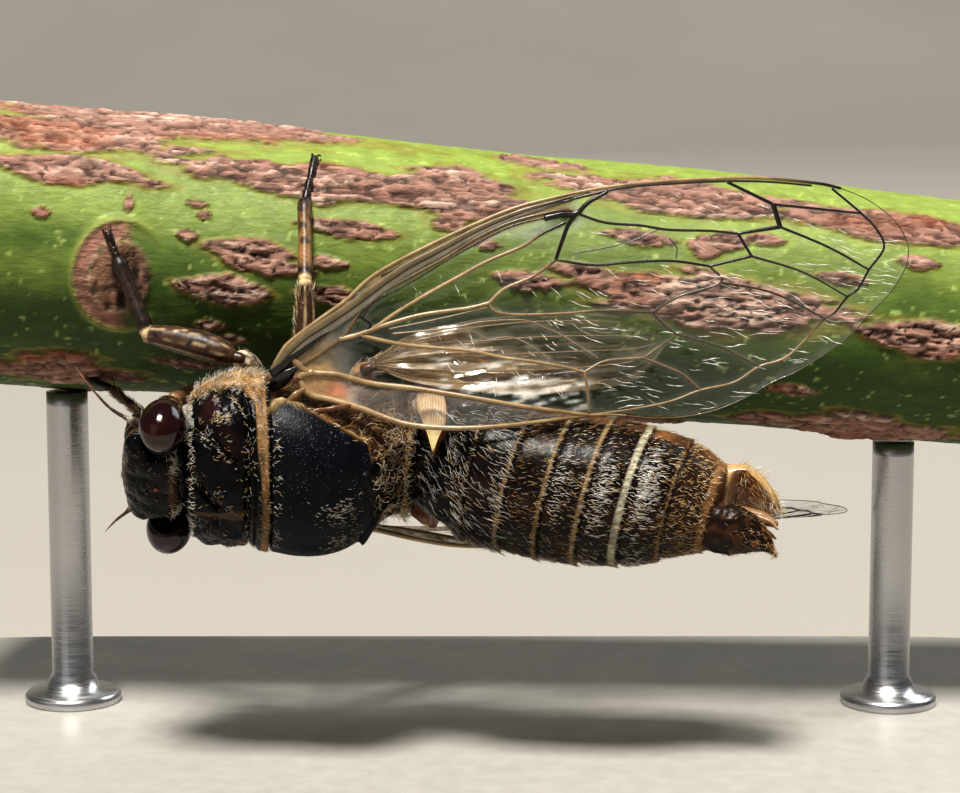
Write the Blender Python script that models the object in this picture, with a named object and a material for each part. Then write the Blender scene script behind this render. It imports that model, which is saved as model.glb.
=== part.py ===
"""Life-size black cicada clinging to a short cut length of branch, on a plain two-rod stand.

Lengths are in millimetres and become metres when a mesh is made. The body has its own axes:
a runs from the front of the head to the tail, u to the animal's right and d to its back.
"""
import math

import bmesh
import bpy
import numpy as np
from mathutils import Vector
from mathutils.geometry import delaunay_2d_cdt

for old in list(bpy.data.objects):
    bpy.data.objects.remove(old, do_unlink=True)

MM = 0.001
GAP = 0.3

# How the animal hangs: the side it shows, its slope along the branch and its roll.
LOOK_DOWN = math.radians(8.0)
BODY_SLOPE = math.radians(5.4)
BODY_ROLL = math.radians(45.0)
BODY_MIDDLE = np.array([-0.15, -5.0, 12.5])

RIGHT = np.array([1.0, 0.0, 0.0])
UP = np.array([0.0, math.sin(LOOK_DOWN), math.cos(LOOK_DOWN)])
TOWARD = np.array([0.0, -math.cos(LOOK_DOWN), math.sin(LOOK_DOWN)])
ALONG = RIGHT * math.cos(BODY_SLOPE) - UP * math.sin(BODY_SLOPE)
ABOVE = RIGHT * math.sin(BODY_SLOPE) + UP * math.cos(BODY_SLOPE)
SIDE = ABOVE * math.cos(BODY_ROLL) + TOWARD * math.sin(BODY_ROLL)
BACK = -ABOVE * math.sin(BODY_ROLL) + TOWARD * math.cos(BODY_ROLL)
HEAD_FRONT = BODY_MIDDLE - ALONG * 11.9

# The branch: where its middle lies from the body's middle, its slope and its two end radii.
BRANCH_MIDDLE = BODY_MIDDLE + np.array([0.15, 0.0, 0.0]) + UP * 7.1 - TOWARD * 7.0
BRANCH_SLOPE = math.radians(4.6)
BRANCH_DIR = RIGHT * math.cos(BRANCH_SLOPE) - UP * math.sin(BRANCH_SLOPE)
BRANCH_UP = RIGHT * math.sin(BRANCH_SLOPE) + UP * math.cos(BRANCH_SLOPE)
BRANCH_HALF = 20.5
BRANCH_R_LEFT = 5.13
BRANCH_R_RIGHT = 4.3

# The stand.
BASE_X, BASE_Y, BASE_Z = 48.0, 28.0, 3.0
ROD_X, ROD_R = 15.0, 0.75

# Half width, height above and depth below the middle, and the middle's own rise, along the body.
BODY = np.array([
    (2.3, 2.50, 2.20, 1.90, 0.30), (3.0, 2.98, 2.45, 2.40, 0.12), (4.0, 3.20, 2.50, 2.85, 0.00),
    (5.0, 3.20, 2.65, 2.95, 0.00), (6.0, 3.10, 2.80, 2.95, 0.00), (7.2, 2.75, 2.65, 2.85, -0.05),
    (8.3, 2.50, 2.35, 2.40, -0.50), (9.2, 2.45, 1.78, 2.00, -0.95), (9.8, 2.58, 1.50, 1.90, -1.05),
    (10.4, 2.66, 1.75, 1.90, -1.00), (11.4, 2.64, 2.05, 2.10, -0.70), (12.8, 2.58, 2.33, 2.28, -0.45),
    (14.0, 2.60, 2.42, 2.40, -0.32), (15.3, 2.62, 2.47, 2.45, -0.20), (16.8, 2.52, 2.37, 2.45, -0.10),
    (18.0, 2.30, 2.15, 2.35, 0.00), (19.0, 1.92, 1.80, 2.05, 0.02), (19.9, 1.52, 1.50, 1.50, 0.10),
])


def smooth_table(table, x):
    """Each column of a short table at x, through its rows with no kinks."""
    xs = table[:, 0]
    x = min(max(x, xs[0]), xs[-1])
    i = min(max(int(np.searchsorted(xs, x)) - 1, 0), len(xs) - 2)
    slope = np.gradient(table[:, 1:], xs, axis=0)
    h = xs[i + 1] - xs[i]
    t = (x - xs[i]) / h
    p, q = table[i, 1:], table[i + 1, 1:]
    return ((2 * t**3 - 3 * t**2 + 1) * p + (t**3 - 2 * t**2 + t) * h * slope[i]
            + (3 * t**2 - 2 * t**3) * q + (t**3 - t**2) * h * slope[i + 1])


def at(a, u, d):
    """World point of a place given along, to the right and to the back of the body."""
    return HEAD_FRONT + ALONG * a + SIDE * u + BACK * d


def seen(a, p, t):
    """World point given along the body, up across the view and out towards the viewer."""
    return HEAD_FRONT + ALONG * a + ABOVE * p + TOWARD * t


def lean(a):
    """How far a ring's back runs behind its belly, for each millimetre of height."""
    return 0.18 - 0.45 * min(max((a - 7.5) / 4.5, 0.0), 1.0)


def ring_point(a, turn, scale=1.0, lift=0.0):
    """A point of the body's surface: turn 0 is the right side, a quarter turn is the back."""
    w, above, below, rise = smooth_table(BODY, a)
    c, s = math.cos(turn), math.sin(turn)
    u = (w * scale + lift) * c
    d = ((above if s > 0 else below) * scale + lift) * s
    return a + lean(a) * d, u, rise + d


# Colour, roughness and metallic value of each kind of node, by the start of its name.
PAINT = {
    "head": ((0.012, 0.011, 0.012), 0.35, 0.0), "postclypeus": ((0.015, 0.012, 0.012), 0.3, 0.0),
    "eye": ((0.045, 0.012, 0.008), 0.12, 0.0), "antenna": ((0.02, 0.016, 0.014), 0.4, 0.0),
    "rostrum": ((0.10, 0.055, 0.025), 0.4, 0.0), "pronotum": ((0.022, 0.012, 0.010), 0.28, 0.0),
    "pronotal_collar": ((0.30, 0.17, 0.07), 0.45, 0.0), "mesonotum": ((0.012, 0.012, 0.015), 0.4, 0.0),
    "cruciform": ((0.10, 0.07, 0.035), 0.45, 0.0), "thorax": ((0.06, 0.04, 0.025), 0.5, 0.0),
    "abdomen": ((0.025, 0.018, 0.014), 0.4, 0.0), "pygofer": ((0.05, 0.025, 0.012), 0.4, 0.0),
    "genital": ((0.42, 0.27, 0.13), 0.4, 0.0), "timbal": ((0.62, 0.48, 0.28), 0.35, 0.0),
    "operculum": ((0.45, 0.33, 0.18), 0.45, 0.0), "forewing": ((0.75, 0.76, 0.72), 0.15, 0.0),
    "hindwing": ((0.72, 0.68, 0.58), 0.2, 0.0), "perch": ((0.20, 0.22, 0.06), 0.6, 0.0),
    "stand_base": ((0.78, 0.76, 0.72), 0.5, 0.0), "stand_rod": ((0.55, 0.55, 0.56), 0.3, 1.0),
    "coxa": ((0.55, 0.42, 0.25), 0.45, 0.0), "femur": ((0.22, 0.12, 0.05), 0.4, 0.0),
    "tibia": ((0.12, 0.065, 0.03), 0.4, 0.0),
}


def paint(obj):
    """The node's own material."""
    colour, rough, metal = next(v for k, v in PAINT.items() if obj.name.startswith(k))
    material = bpy.data.materials.new(obj.name)
    material.use_nodes = True
    shader = material.node_tree.nodes["Principled BSDF"]
    shader.inputs["Base Color"].default_value = (*colour, 1.0)
    shader.inputs["Roughness"].default_value = rough
    shader.inputs["Metallic"].default_value = metal
    obj.data.materials.append(material)


def make(name, points, faces):
    """A closed mesh node from millimetre points, faces turned outward."""
    mesh = bpy.data.meshes.new(name)
    mesh.from_pydata([tuple(np.asarray(p) * MM) for p in points], [], faces)
    work = bmesh.new()
    work.from_mesh(mesh)
    bmesh.ops.recalc_face_normals(work, faces=work.faces)
    if work.calc_volume(signed=True) < 0:
        bmesh.ops.reverse_faces(work, faces=work.faces)
    work.to_mesh(mesh)
    work.free()
    mesh.shade_smooth()
    mesh.set_sharp_from_angle(angle=math.radians(40))
    obj = bpy.data.objects.new(name, mesh)
    bpy.context.scene.collection.objects.link(obj)
    paint(obj)
    return obj


def loft(name, rings, start=None, end=None):
    """Skin over rings of equal count, closed at each end by a fan to its middle or to a given tip."""
    rings = [np.array(r) for r in rings]
    n = len(rings[0])
    points = [p for r in rings for p in r]
    faces = []
    for i in range(len(rings) - 1):
        for j in range(n):
            k = (j + 1) % n
            b, t = i * n, (i + 1) * n
            faces += [(b + j, b + k, t + k), (b + j, t + k, t + j)]
    for first, tip, base in ((True, start, 0), (False, end, (len(rings) - 1) * n)):
        points.append(tip if tip is not None else rings[0 if first else -1].mean(axis=0))
        c = len(points) - 1
        for j in range(n):
            k = (j + 1) % n
            faces.append((c, base + k, base + j) if first else (c, base + j, base + k))
    return make(name, points, faces)


def tube(name, path, radii, sides=8, flat=1.0, wide=None, start=0.5):
    """A limb along a path, with a radius for each of its points and rounded ends."""
    path = [np.array(p, float) for p in path]
    wide = np.array(wide if wide is not None else TOWARD, float)
    rings = []
    for i, p in enumerate(path):
        d = path[min(i + 1, len(path) - 1)] - path[max(i - 1, 0)]
        d /= np.linalg.norm(d)
        x = wide - d * np.dot(wide, d)
        x /= np.linalg.norm(x)
        y = np.cross(d, x)
        rings.append([p + (x * math.cos(2 * math.pi * j / sides) + y * flat
                           * math.sin(2 * math.pi * j / sides)) * radii[i] for j in range(sides)])
    e0, e1 = path[0] - path[1], path[-1] - path[-2]
    tip0 = path[0] + e0 / np.linalg.norm(e0) * radii[0] * start
    tip1 = path[-1] + e1 / np.linalg.norm(e1) * radii[-1] * 0.5
    return loft(name, rings, tip0, tip1)


def between(p, q, share, bow=0.0, way=None):
    """The point a share of the way from p to q, bowed out along way."""
    p, q = np.array(p, float), np.array(q, float)
    out = p + (q - p) * share
    return out if way is None else out + np.array(way) * bow * 4 * share * (1 - share)


# Segments of the body

TURNS = 28


def plate(name, a0, a1, low=None, high=None, steps=4, relief=None, ends=0.94):
    """One body ring from a0 to a1. low or high keeps only what lies above or below that level."""
    a0, a1 = a0 + GAP / 2, a1 - GAP / 2
    rings = []
    soft = min(0.12, (a1 - a0) / 5)
    stations = [a0, a0 + soft] + list(np.linspace(a0, a1, steps + 1)[1:-1]) + [a1 - soft, a1]
    for i, a in enumerate(stations):
        scale = ends if i in (0, len(stations) - 1) else 1.0
        ring = []
        for j in range(TURNS):
            turn = 2 * math.pi * (j + 0.5) / TURNS
            lift = relief(a, turn) if relief else 0.0
            pa, pu, pd = ring_point(a, turn, scale, lift)
            if low is not None and pd < low:
                share = (low - pd) * 0.02
                pa, pd = a + lean(a) * low, low - share
            if high is not None and pd > high:
                share = (pd - high) * 0.02
                pa, pd = a + lean(a) * high, high + share
            ring.append(at(pa, pu, pd))
        rings.append(ring)
    return loft(name, rings)


def pronotum_relief(a, turn):
    """Oblique furrows either side of a low middle ridge."""
    side = abs(turn - math.pi / 2)
    fold = math.exp(-((side - 0.95 + 0.28 * (a - 3.2)) / 0.14) ** 2)
    return 0.06 * math.exp(-(side / 0.22) ** 2) - 0.13 * fold


def mesonotum_relief(a, turn):
    """A domed shield that sinks at its rear corners."""
    side = abs(turn - math.pi / 2)
    return 0.08 * math.exp(-((side - 0.45) / 0.3) ** 2) * math.exp(-((a - 6.6) / 1.2) ** 2)


THORAX_SPLIT = -0.55
plate("pronotum", 2.3, 4.5, low=THORAX_SPLIT + GAP / 2, relief=pronotum_relief)
plate("pronotal_collar", 4.5, 5.2, low=THORAX_SPLIT + GAP / 2, steps=2)
plate("mesonotum", 5.2, 8.35, low=THORAX_SPLIT + GAP / 2, steps=6, relief=mesonotum_relief)
plate("thorax_underside", 2.6, 9.75, high=THORAX_SPLIT - GAP / 2, steps=8)


def cross_relief(a, turn):
    """The raised cross behind the shield: two arms out from the middle line."""
    side = abs(turn - math.pi / 2)
    arm = 0.15 + 0.55 * abs(a - 8.95)
    return 0.22 * math.exp(-((side - arm) / 0.16) ** 2)


plate("cruciform_ridge", 8.35, 9.75, low=THORAX_SPLIT + GAP / 2, steps=4, relief=cross_relief)


# A timbal is a ribbed shell at each side of the first ring. Its middle, and half its span each way.
TIMBAL_A, TIMBAL_TURN = 10.27, 0.17
TIMBAL_WIDE, TIMBAL_HIGH = 0.50, 0.68
TIMBAL_SLANT = 0.45


def timbal_middle(turn):
    """How far along the body the timbal's middle line lies at this turn."""
    return TIMBAL_A + TIMBAL_SLANT * (turn - TIMBAL_TURN)


def timbal_room(a, turn):
    """The first ring is hollowed at each side, where a timbal lies."""
    turn = (turn + math.pi / 2) % (2 * math.pi) - math.pi / 2
    turn = min(turn, math.pi - turn, key=lambda t: abs(t - TIMBAL_TURN))
    side = (turn - TIMBAL_TURN) / 0.86
    along = (a - timbal_middle(turn)) / 1.05
    return -0.66 * math.exp(-side**4 - max(along, 0.0) ** 4)


RINGS = [9.75, 12.05, 13.35, 14.65, 15.95, 17.28, 18.6, 19.9]
for number, (a0, a1) in enumerate(zip(RINGS, RINGS[1:]), start=2):
    plate(f"abdomen_{number}", a0, a1, relief=timbal_room if number == 2 else None, ends=0.955)


def ellipsoid(name, centre, size, turns=16, rows=8, clamp=None):
    """A rounded body in the animal's axes; clamp(a, u, d) may press points onto a flat."""
    def spot(a, u, d):
        local = (centre[0] + size[0] * a, centre[1] + size[1] * u, centre[2] + size[2] * d)
        return at(*(clamp(*local) if clamp else local))
    rings = []
    for i in range(1, rows):
        lat = math.pi * i / rows
        rings.append([spot(math.sin(lat) * math.cos(2 * math.pi * j / turns), math.cos(lat),
                           math.sin(lat) * math.sin(2 * math.pi * j / turns)) for j in range(turns)])
    return loft(name, rings, spot(0, 1, 0), spot(0, -1, 0))


# Head

# Height on the head, its front, its rear and its half width there.
HEAD = np.array([
    (-2.0, 1.35, 1.90, 0.80), (-1.5, 1.12, 2.05, 1.30), (-0.5, 1.00, 2.15, 1.62),
    (0.35, 0.92, 2.15, 1.66), (0.62, 0.34, 2.15, 1.66), (0.90, 0.12, 2.13, 1.64),
    (1.20, 0.12, 2.10, 1.58), (1.55, 0.38, 2.00, 1.40), (1.80, 0.90, 1.75, 1.00),
])
HEAD_TURN = 0.03


def head_at(a, u, d):
    """A place on the head, which is turned a little to the animal's right."""
    return at(a - HEAD_TURN * u, u, d)


def head_ring(d, turns=24):
    front, rear, half = smooth_table(HEAD, d)
    middle, reach = (front + rear) / 2, (rear - front) / 2
    ring = []
    for j in range(turns):
        c, s = math.cos(2 * math.pi * j / turns), math.sin(2 * math.pi * j / turns)
        ring.append(head_at(middle - reach * math.copysign(abs(c) ** 0.6, c) + 0.10 * d,
                            half * math.copysign(abs(s) ** 0.75, s), d))
    return ring


loft("head", [head_ring(d) for d in (-2.0, -1.75, -1.3, -0.7, -0.1, 0.35, 0.62, 0.9, 1.2, 1.5, 1.72, 1.8)])

CLYPEUS_REAR = 0.60
ellipsoid("postclypeus", (0.92, 0.0, -0.72), (0.90, 1.0, 0.98), turns=18, rows=12,
          clamp=lambda a, u, d: (min(a, CLYPEUS_REAR + 0.02 * (a - CLYPEUS_REAR)) + 0.10 * d + 0.02, u, d))

EYE = (1.64, 2.45, 1.02)
EYE_SIZE = (0.74, 0.74, 1.0)
EYE_INNER = 1.97
for side, name in ((1, "right"), (-1, "left")):
    ellipsoid(f"eye_{name}", (EYE[0] - HEAD_TURN * EYE[1] * side, EYE[1] * side, EYE[2]), EYE_SIZE, rows=10,
              clamp=lambda a, u, d, k=side: (
                  a, k * max(u * k, EYE_INNER - 0.02 * (EYE_INNER - u * k)), d))

tube("rostrum", [at(*p) for p in ((1.35, 0, -2.55), (2.1, 0, -3.1), (3.1, 0, -3.55), (4.3, 0, -3.7), (5.5, 0, -3.72))],
     (0.34, 0.33, 0.3, 0.27, 0.2), wide=SIDE)

tube("antenna_right", [seen(*p) for p in ((0.52, 1.02, 1.05), (0.16, 1.14, 1.08), (-0.38, 1.42, 1.12),
                                          (-0.96, 1.94, 1.15), (-1.36, 2.36, 1.2), (-1.61, 2.64, 1.2))],
     (0.28, 0.27, 0.22, 0.18, 0.14, 0.08), sides=7)
tube("antenna_left", [seen(*p) for p in ((0.50, -1.80, -1.1), (0.20, -2.12, -1.1), (-0.08, -2.38, -1.1),
                                         (-0.28, -2.62, -1.1), (-0.43, -2.83, -1.1))],
     (0.28, 0.25, 0.2, 0.15, 0.08), sides=7)

# Tail

# The dark upper piece ends in a beak that points back and up; the pale lower one is a boat under it.
tube("pygofer", [at(*p) for p in ((20.12, 0, 0.94), (20.6, 0, 0.98), (21.15, 0, 1.12), (21.6, 0, 1.42), (21.95, 0, 1.85))],
     (0.92, 1.0, 0.78, 0.42, 0.12), sides=14, flat=0.78, wide=SIDE, start=0.1)
tube("genital_plate", [at(*p) for p in ((20.5, 0, -0.86), (20.85, 0, -0.82), (21.35, 0, -0.62), (21.8, 0, -0.35), (22.1, 0, -0.12))],
     (1.06, 1.12, 0.86, 0.5, 0.14), sides=14, flat=0.6, wide=SIDE, start=0.05)

# Timbals and opercula


def timbal(name, k):
    """A ribbed oval shell on the side of the first abdominal ring."""
    turns, rows = 18, 5
    front = []
    for i in range(rows + 1):
        r = i / rows
        for j in range(turns if i else 1):
            w = 2 * math.pi * j / turns
            turn = TIMBAL_TURN + TIMBAL_HIGH * r * math.sin(w)
            narrow = 1 - 0.45 * max(turn - 0.3, 0.0) / 0.55
            a = timbal_middle(turn) + TIMBAL_WIDE * narrow * r * math.cos(w)
            bulge = 0.16 * (1 - r * r) + 0.035 * math.cos(9.0 * w)
            front.append((a, turn, bulge * (1 if 0 < r < 1 else 0) + 0.02))
    def spot(a, turn, lift):
        pa, pu, pd = ring_point(a, turn, 1.0, lift - 0.02)
        return at(pa, pu * k, pd)
    points = [spot(*p) for p in front] + [spot(a, t, -0.24) for a, t, _ in front]
    half = len(front)
    faces = []
    for i in range(rows):
        for j in range(turns):
            m = (j + 1) % turns
            p, q = (1 + (i - 1) * turns + j, 1 + (i - 1) * turns + m) if i else (0, 0)
            s, t = 1 + i * turns + j, 1 + i * turns + m
            for tri in (((p, s, t), (p, t, q)) if i else ((0, s, t),)):
                faces.append(tri)
                faces.append(tuple(v + half for v in reversed(tri)))
    last = 1 + (rows - 1) * turns
    for j in range(turns):
        p, q = last + j, last + (j + 1) % turns
        faces += [(p, p + half, q), (q, p + half, q + half)]
    make(name, points, faces)


for k, name in ((1, "right"), (-1, "left")):
    timbal(f"timbal_{name}", k)
    path = [(9.35 + 0.5 * s, 1.0 + 0.04 * s, -3.42 + 0.05 * s) for s in np.linspace(0, 3.6, 5)]
    tube(f"operculum_{name}", [at(a, u * k, d) for a, u, d in path], (0.42, 0.62, 0.7, 0.64, 0.4),
         sides=10, flat=0.32, wide=SIDE)

# Wings

WING_ROOT = np.array([5.42, 3.60, -0.83])
WING_ALONG = np.array([0.9541, 0.1302, -0.2699])
WING_FORE = np.array([-0.2638, 0.7923, -0.5502])
WING_OUT = np.cross(WING_ALONG, WING_FORE)
WING_THICK = 0.5
VEIN_RISE = 0.13
VEIN_FOOT = 0.22

# The leading and trailing edges of the forewing: distance from the root and how far fore or aft.
LEADING = [(0.35, 0.55), (1.3, 1.6), (2.4, 2.1), (4.5, 3.05), (7.0, 3.68), (9.9, 4.02), (12.9, 3.92),
           (16.5, 3.4), (19.1, 2.6), (20.5, 1.55), (21.1, 0.2)]
TRAILING = [(20.3, -1.25), (18.5, -2.55), (16.8, -3.25), (14.8, -3.75), (13.0, -3.95), (11.5, -3.78),
            (10.0, -3.32), (8.0, -2.98), (5.3, -2.72), (3.6, -2.3), (2.2, -1.55), (1.2, -0.95), (0.5, -0.35)]
VEINS = [
    [(0.6, 0.2), (1.9, 0.9), (3.2, 1.85), (5.7, 2.75), (8.3, 3.4), (10.3, 3.4)],
    [(1.9, 0.9), (3.1, 0.95), (5.0, 1.7), (7.1, 2.4), (9.0, 2.9), (10.3, 3.4)],
    [(3.1, 0.95), (6.8, 1.0), (8.5, 1.65), (9.3, 2.0)],
    [(6.8, 1.0), (9.2, 0.25), (12.2, -0.3)],
    [(3.1, 0.95), (4.9, -0.1), (7.0, -0.8), (9.6, -1.8), (9.5, -3.1)],
    [(0.6, 0.2), (2.6, -0.85), (5.5, -1.75), (8.0, -2.5), (9.5, -3.1)],
    [(10.3, 3.4), (12.3, 2.6), (15.5, 1.7), (16.9, 1.7)],
    [(10.3, 3.4), (9.3, 2.0), (12.3, 1.4), (14.3, 0.85), (15.8, 0.9), (15.5, 1.7)],
    [(15.8, 3.2), (16.8, 2.4), (16.9, 1.7), (19.7, -0.3)],
    [(16.8, 2.4), (19.7, 1.6)],
    [(15.8, 0.9), (18.8, -1.1)],
    [(14.3, 0.85), (14.6, 0.25), (18.0, -1.7)],
    [(14.6, 0.25), (12.2, -0.3), (12.9, -1.2), (15.5, -2.8)],
    [(9.6, -1.8), (11.6, -1.7), (12.9, -1.2)],
    [(11.6, -1.7), (13.5, -3.2)],
    [(19.7, 1.6), (20.3, 0.3), (19.7, -0.3), (18.0, -1.7), (15.5, -2.8), (13.5, -3.2), (9.5, -3.1)],
]


def wing_spot(s, t, h, k=1):
    """A place of the wing: out from its root, fore or aft, and off its middle surface."""
    arch = 0.45 * math.exp(-((t - 0.3) / 2.6) ** 2) * (1 - math.exp(-s / 4)) - 0.003 * (s - 10) * max(s - 12, 0)
    clear = 1.25 * math.exp(-((min(t, 0.4) + 3.0) / 1.7) ** 2 - ((s - 6.3) / 4.6) ** 2)
    p = WING_ROOT + WING_ALONG * s + WING_FORE * t + WING_OUT * (h + arch + clear)
    return at(p[0], p[1] * k, p[2])


def spline(points, step, closed=False):
    """Evenly spaced points on a smooth curve through the given ones."""
    p = [np.array(q, float) for q in points]
    n = len(p)
    out = []
    for i in range(n if closed else n - 1):
        a = p[(i - 1) % n] if closed or i else 2 * p[0] - p[1]
        b, c = p[i], p[(i + 1) % n]
        d = p[(i + 2) % n] if closed or i + 2 < n else 2 * p[-1] - p[-2]
        m = max(1, round(float(np.linalg.norm(c - b)) / step))
        for j in range(m):
            t = j / m
            out.append(0.5 * (2 * b + (c - a) * t + (2 * a - 5 * b + 4 * c - d) * t**2
                              + (3 * b - a - 3 * c + d) * t**3))
    return out if closed else out + [p[-1]]


def distance(point, line):
    """From a flat point to the nearest piece of a polyline."""
    best = 1e9
    for p, q in zip(line, line[1:]):
        pq = q - p
        t = min(max(float(np.dot(point - p, pq) / np.dot(pq, pq)), 0.0), 1.0)
        best = min(best, float(np.linalg.norm(point - p - pq * t)))
    return best


def wing_sheet(name, outline, veins, k, drop=0.0, step=1.0):
    """A membrane plate with its veins raised on both faces, the same triangles on each."""
    coords = [Vector(p) for p in outline]
    n = len(coords)
    edges = [(i, (i + 1) % n) for i in range(n)]
    for line in veins:
        for shift in (0.0, VEIN_FOOT, -VEIN_FOOT):
            first = len(coords)
            for i, p in enumerate(line):
                d = line[min(i + 1, len(line) - 1)] - line[max(i - 1, 0)]
                d = np.array([-d[1], d[0]]) / np.linalg.norm(d)
                spot = p + d * shift
                if shift and min(distance(spot, o) for o in veins) < VEIN_FOOT * 0.8:
                    continue
                coords.append(Vector(spot))
            if not shift:
                edges += [(i, i + 1) for i in range(first, len(coords) - 1)]
    flat, _, tris, *_ = delaunay_2d_cdt(coords, edges, [], 1, 0.02)
    half = len(flat)
    top, bottom = [], []
    for v in flat:
        near = min(distance(np.array(v), line) for line in veins)
        rise = WING_THICK / 2 + (VEIN_RISE if near < 0.05 else 0.0)
        top.append(wing_spot(v[0], v[1], rise - drop, k))
        bottom.append(wing_spot(v[0], v[1], -rise - drop, k))
    faces, sides = [], {}
    for tri in tris:
        faces.append(tuple(tri))
        faces.append(tuple(v + half for v in reversed(tri)))
        for p, q in zip(tri, list(tri[1:]) + [tri[0]]):
            if (q, p) in sides:
                del sides[(q, p)]
            else:
                sides[(p, q)] = True
    for p, q in sides:
        faces += [(q, p, p + half), (q, p + half, q + half)]
    make(name, top + bottom, faces)


def hind_outline():
    """The folded hindwing: a narrow pleated fan under the forewing's trailing half."""
    return spline([(2.9, 0.1), (5.0, 0.5), (8.0, 0.4), (11.0, -0.2), (12.6, -1.2), (12.2, -2.4),
                   (10.0, -2.6), (7.0, -2.1), (4.6, -1.5), (3.1, -0.9)], 1.2, closed=True)


FORE_OUTLINE = spline(LEADING + TRAILING, 0.9, closed=True)
FORE_VEINS = [spline(line, 1.1) for line in VEINS]
HIND_VEINS = [spline([(3.1, -0.2), (6.0, 0.2 - 0.34 * i), (11.4 - 0.2 * i, -0.5 - 0.5 * i)], 1.5) for i in range(4)]
for k, name in ((1, "right"), (-1, "left")):
    wing_sheet(f"forewing_{name}", FORE_OUTLINE, FORE_VEINS, k)
    wing_sheet(f"hindwing_{name}", hind_outline(), HIND_VEINS, k, drop=0.95 + VEIN_RISE)

# Branch and stand


def branch_radius(x, turn):
    """Radius of the branch at x along it, with bark swellings and a leaf scar near its left end."""
    share = (x + BRANCH_HALF) / (2 * BRANCH_HALF)
    plain = BRANCH_R_LEFT + (BRANCH_R_RIGHT - BRANCH_R_LEFT) * share
    wave = 0.07 * math.sin(3 * turn + 0.35 * x) + 0.05 * math.sin(5 * turn - 0.22 * x + 1)
    scar = 0.16 * math.exp(-((x + 13.2) / 1.6) ** 2 - (min(abs(turn - 0.1), 6.3) / 0.55) ** 2)
    return plain + wave + scar


def branch_spot(x, turn, out=0.0):
    """A place on the branch: turn 0 faces the viewer, a quarter turn is its top."""
    r = branch_radius(x, turn) + out
    middle = BRANCH_MIDDLE + BRANCH_DIR * x
    return middle + TOWARD * r * math.cos(turn) + BRANCH_UP * r * math.sin(turn)


def branch_ring(x, turns=32, scale=1.0):
    out = []
    for j in range(turns):
        turn = -math.pi + 2 * math.pi * j / turns
        out.append(branch_spot(x, turn, (scale - 1) * BRANCH_R_RIGHT))
    return out


stations = [-BRANCH_HALF, -BRANCH_HALF + 0.25] + list(np.linspace(-BRANCH_HALF, BRANCH_HALF, 25)[1:-1])
stations += [BRANCH_HALF - 0.25, BRANCH_HALF]
loft("perch_branch", [branch_ring(x, scale=0.95 if abs(x) == BRANCH_HALF else 1.0) for x in stations])

base_ring = []
for j in range(40):
    w = 2 * math.pi * (j + 0.5) / 40
    c, s = math.cos(w), math.sin(w)
    base_ring.append(((BASE_X / 2) * math.copysign(abs(c) ** 0.22, c), (BASE_Y / 2) * math.copysign(abs(s) ** 0.22, s)))
scale_x = BASE_X / 2 / max(p[0] for p in base_ring)
scale_y = BASE_Y / 2 / max(p[1] for p in base_ring)
levels = ((0.0, 1.0), (BASE_Z - 0.35, 1.0), (BASE_Z, 0.985))
loft("stand_base", [[np.array((x * scale_x * m, y * scale_y * m, z)) for x, y in base_ring] for z, m in levels])

for k, name in ((-1, "left"), (1, "right")):
    x = ROD_X * k
    y = float((BRANCH_MIDDLE + BRANCH_DIR * x)[1])
    foot = np.array((x, y, BASE_Z + GAP))
    rings = [[foot + ROD_R * np.array((math.cos(w), math.sin(w), 0)) for w in np.linspace(0, 2 * math.pi, 21)[:-1]]]
    head = []
    for p in rings[0]:
        axis = BRANCH_MIDDLE + BRANCH_DIR * x
        reach = branch_radius(x, -math.pi / 2)
        top = axis[2] - math.sqrt(reach**2 - (p[1] - y) ** 2) - GAP - 0.08 - (p[0] - x) * math.tan(BRANCH_SLOPE)
        head.append(np.array((p[0], p[1], top)))
    loft(f"stand_rod_{name}", [rings[0], head])

# Legs


def leg(name, root, knee, ankle, foot, widths, coxa):
    """Coxa, femur, then shin with its foot: three nodes that meet at small gaps."""
    coxa, root, knee, ankle, foot = (np.array(p, float) for p in (coxa, root, knee, ankle, foot))
    thick, shin, toe = widths
    def trim(p, q, start, end):
        d = (q - p) / np.linalg.norm(q - p)
        return p + d * start, q - d * end
    p, q = trim(coxa, root, 0.0, 0.22)
    tube(f"coxa_{name}", [between(p, q, s) for s in (0, 0.4, 0.8, 1)], (0.42, 0.46, 0.40, 0.26))
    p, q = trim(root, knee, 0.28, 0.28)
    tube(f"femur_{name}", [between(p, q, s) for s in (0, 0.12, 0.35, 0.7, 0.92, 1)],
         [thick * m for m in (0.7, 0.95, 1.1, 0.95, 0.85, 0.6)])
    p, q = trim(knee, ankle, 0.28, 0.0)
    line = [between(p, q, s) for s in (0, 0.1, 0.5, 0.9)] + [q]
    line += [between(q, foot, s) for s in (0.35, 0.8, 1)]
    tube(f"tibia_{name}", line, [shin, shin * 1.05, shin * 0.95, shin, shin, toe, toe, toe * 0.7])


TOE = GAP + 0.26
leg("fore_right", at(3.55, 1.95, -2.95), seen(0.37, 3.98, -1.2), branch_spot(-12.3, -0.06, TOE + 0.08),
    branch_spot(-13.1, 0.08, TOE), (0.34, 0.27, 0.25), at(3.95, 1.05, -3.45))
leg("mid_right", at(5.65, 2.0, -2.95), seen(5.55, 6.2, -0.6), branch_spot(-6.2, 0.41, TOE + 0.05),
    branch_spot(-6.05, 0.87, TOE), (0.33, 0.26, 0.25), at(5.85, 1.05, -3.5))
leg("hind_right", at(7.85, 1.95, -2.95), at(9.7, 2.8, -3.5), branch_spot(2.0, -0.75, TOE + 0.05),
    branch_spot(4.0, -0.7, TOE), (0.32, 0.26, 0.25), at(7.6, 1.05, -3.4))
leg("fore_left", at(3.45, -1.95, -2.95), seen(0.75, 0.75, -3.9), branch_spot(-12.7, -1.25, TOE + 0.05),
    branch_spot(-13.6, -1.2, TOE), (0.33, 0.26, 0.25), at(3.95, -1.05, -3.45))
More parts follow.
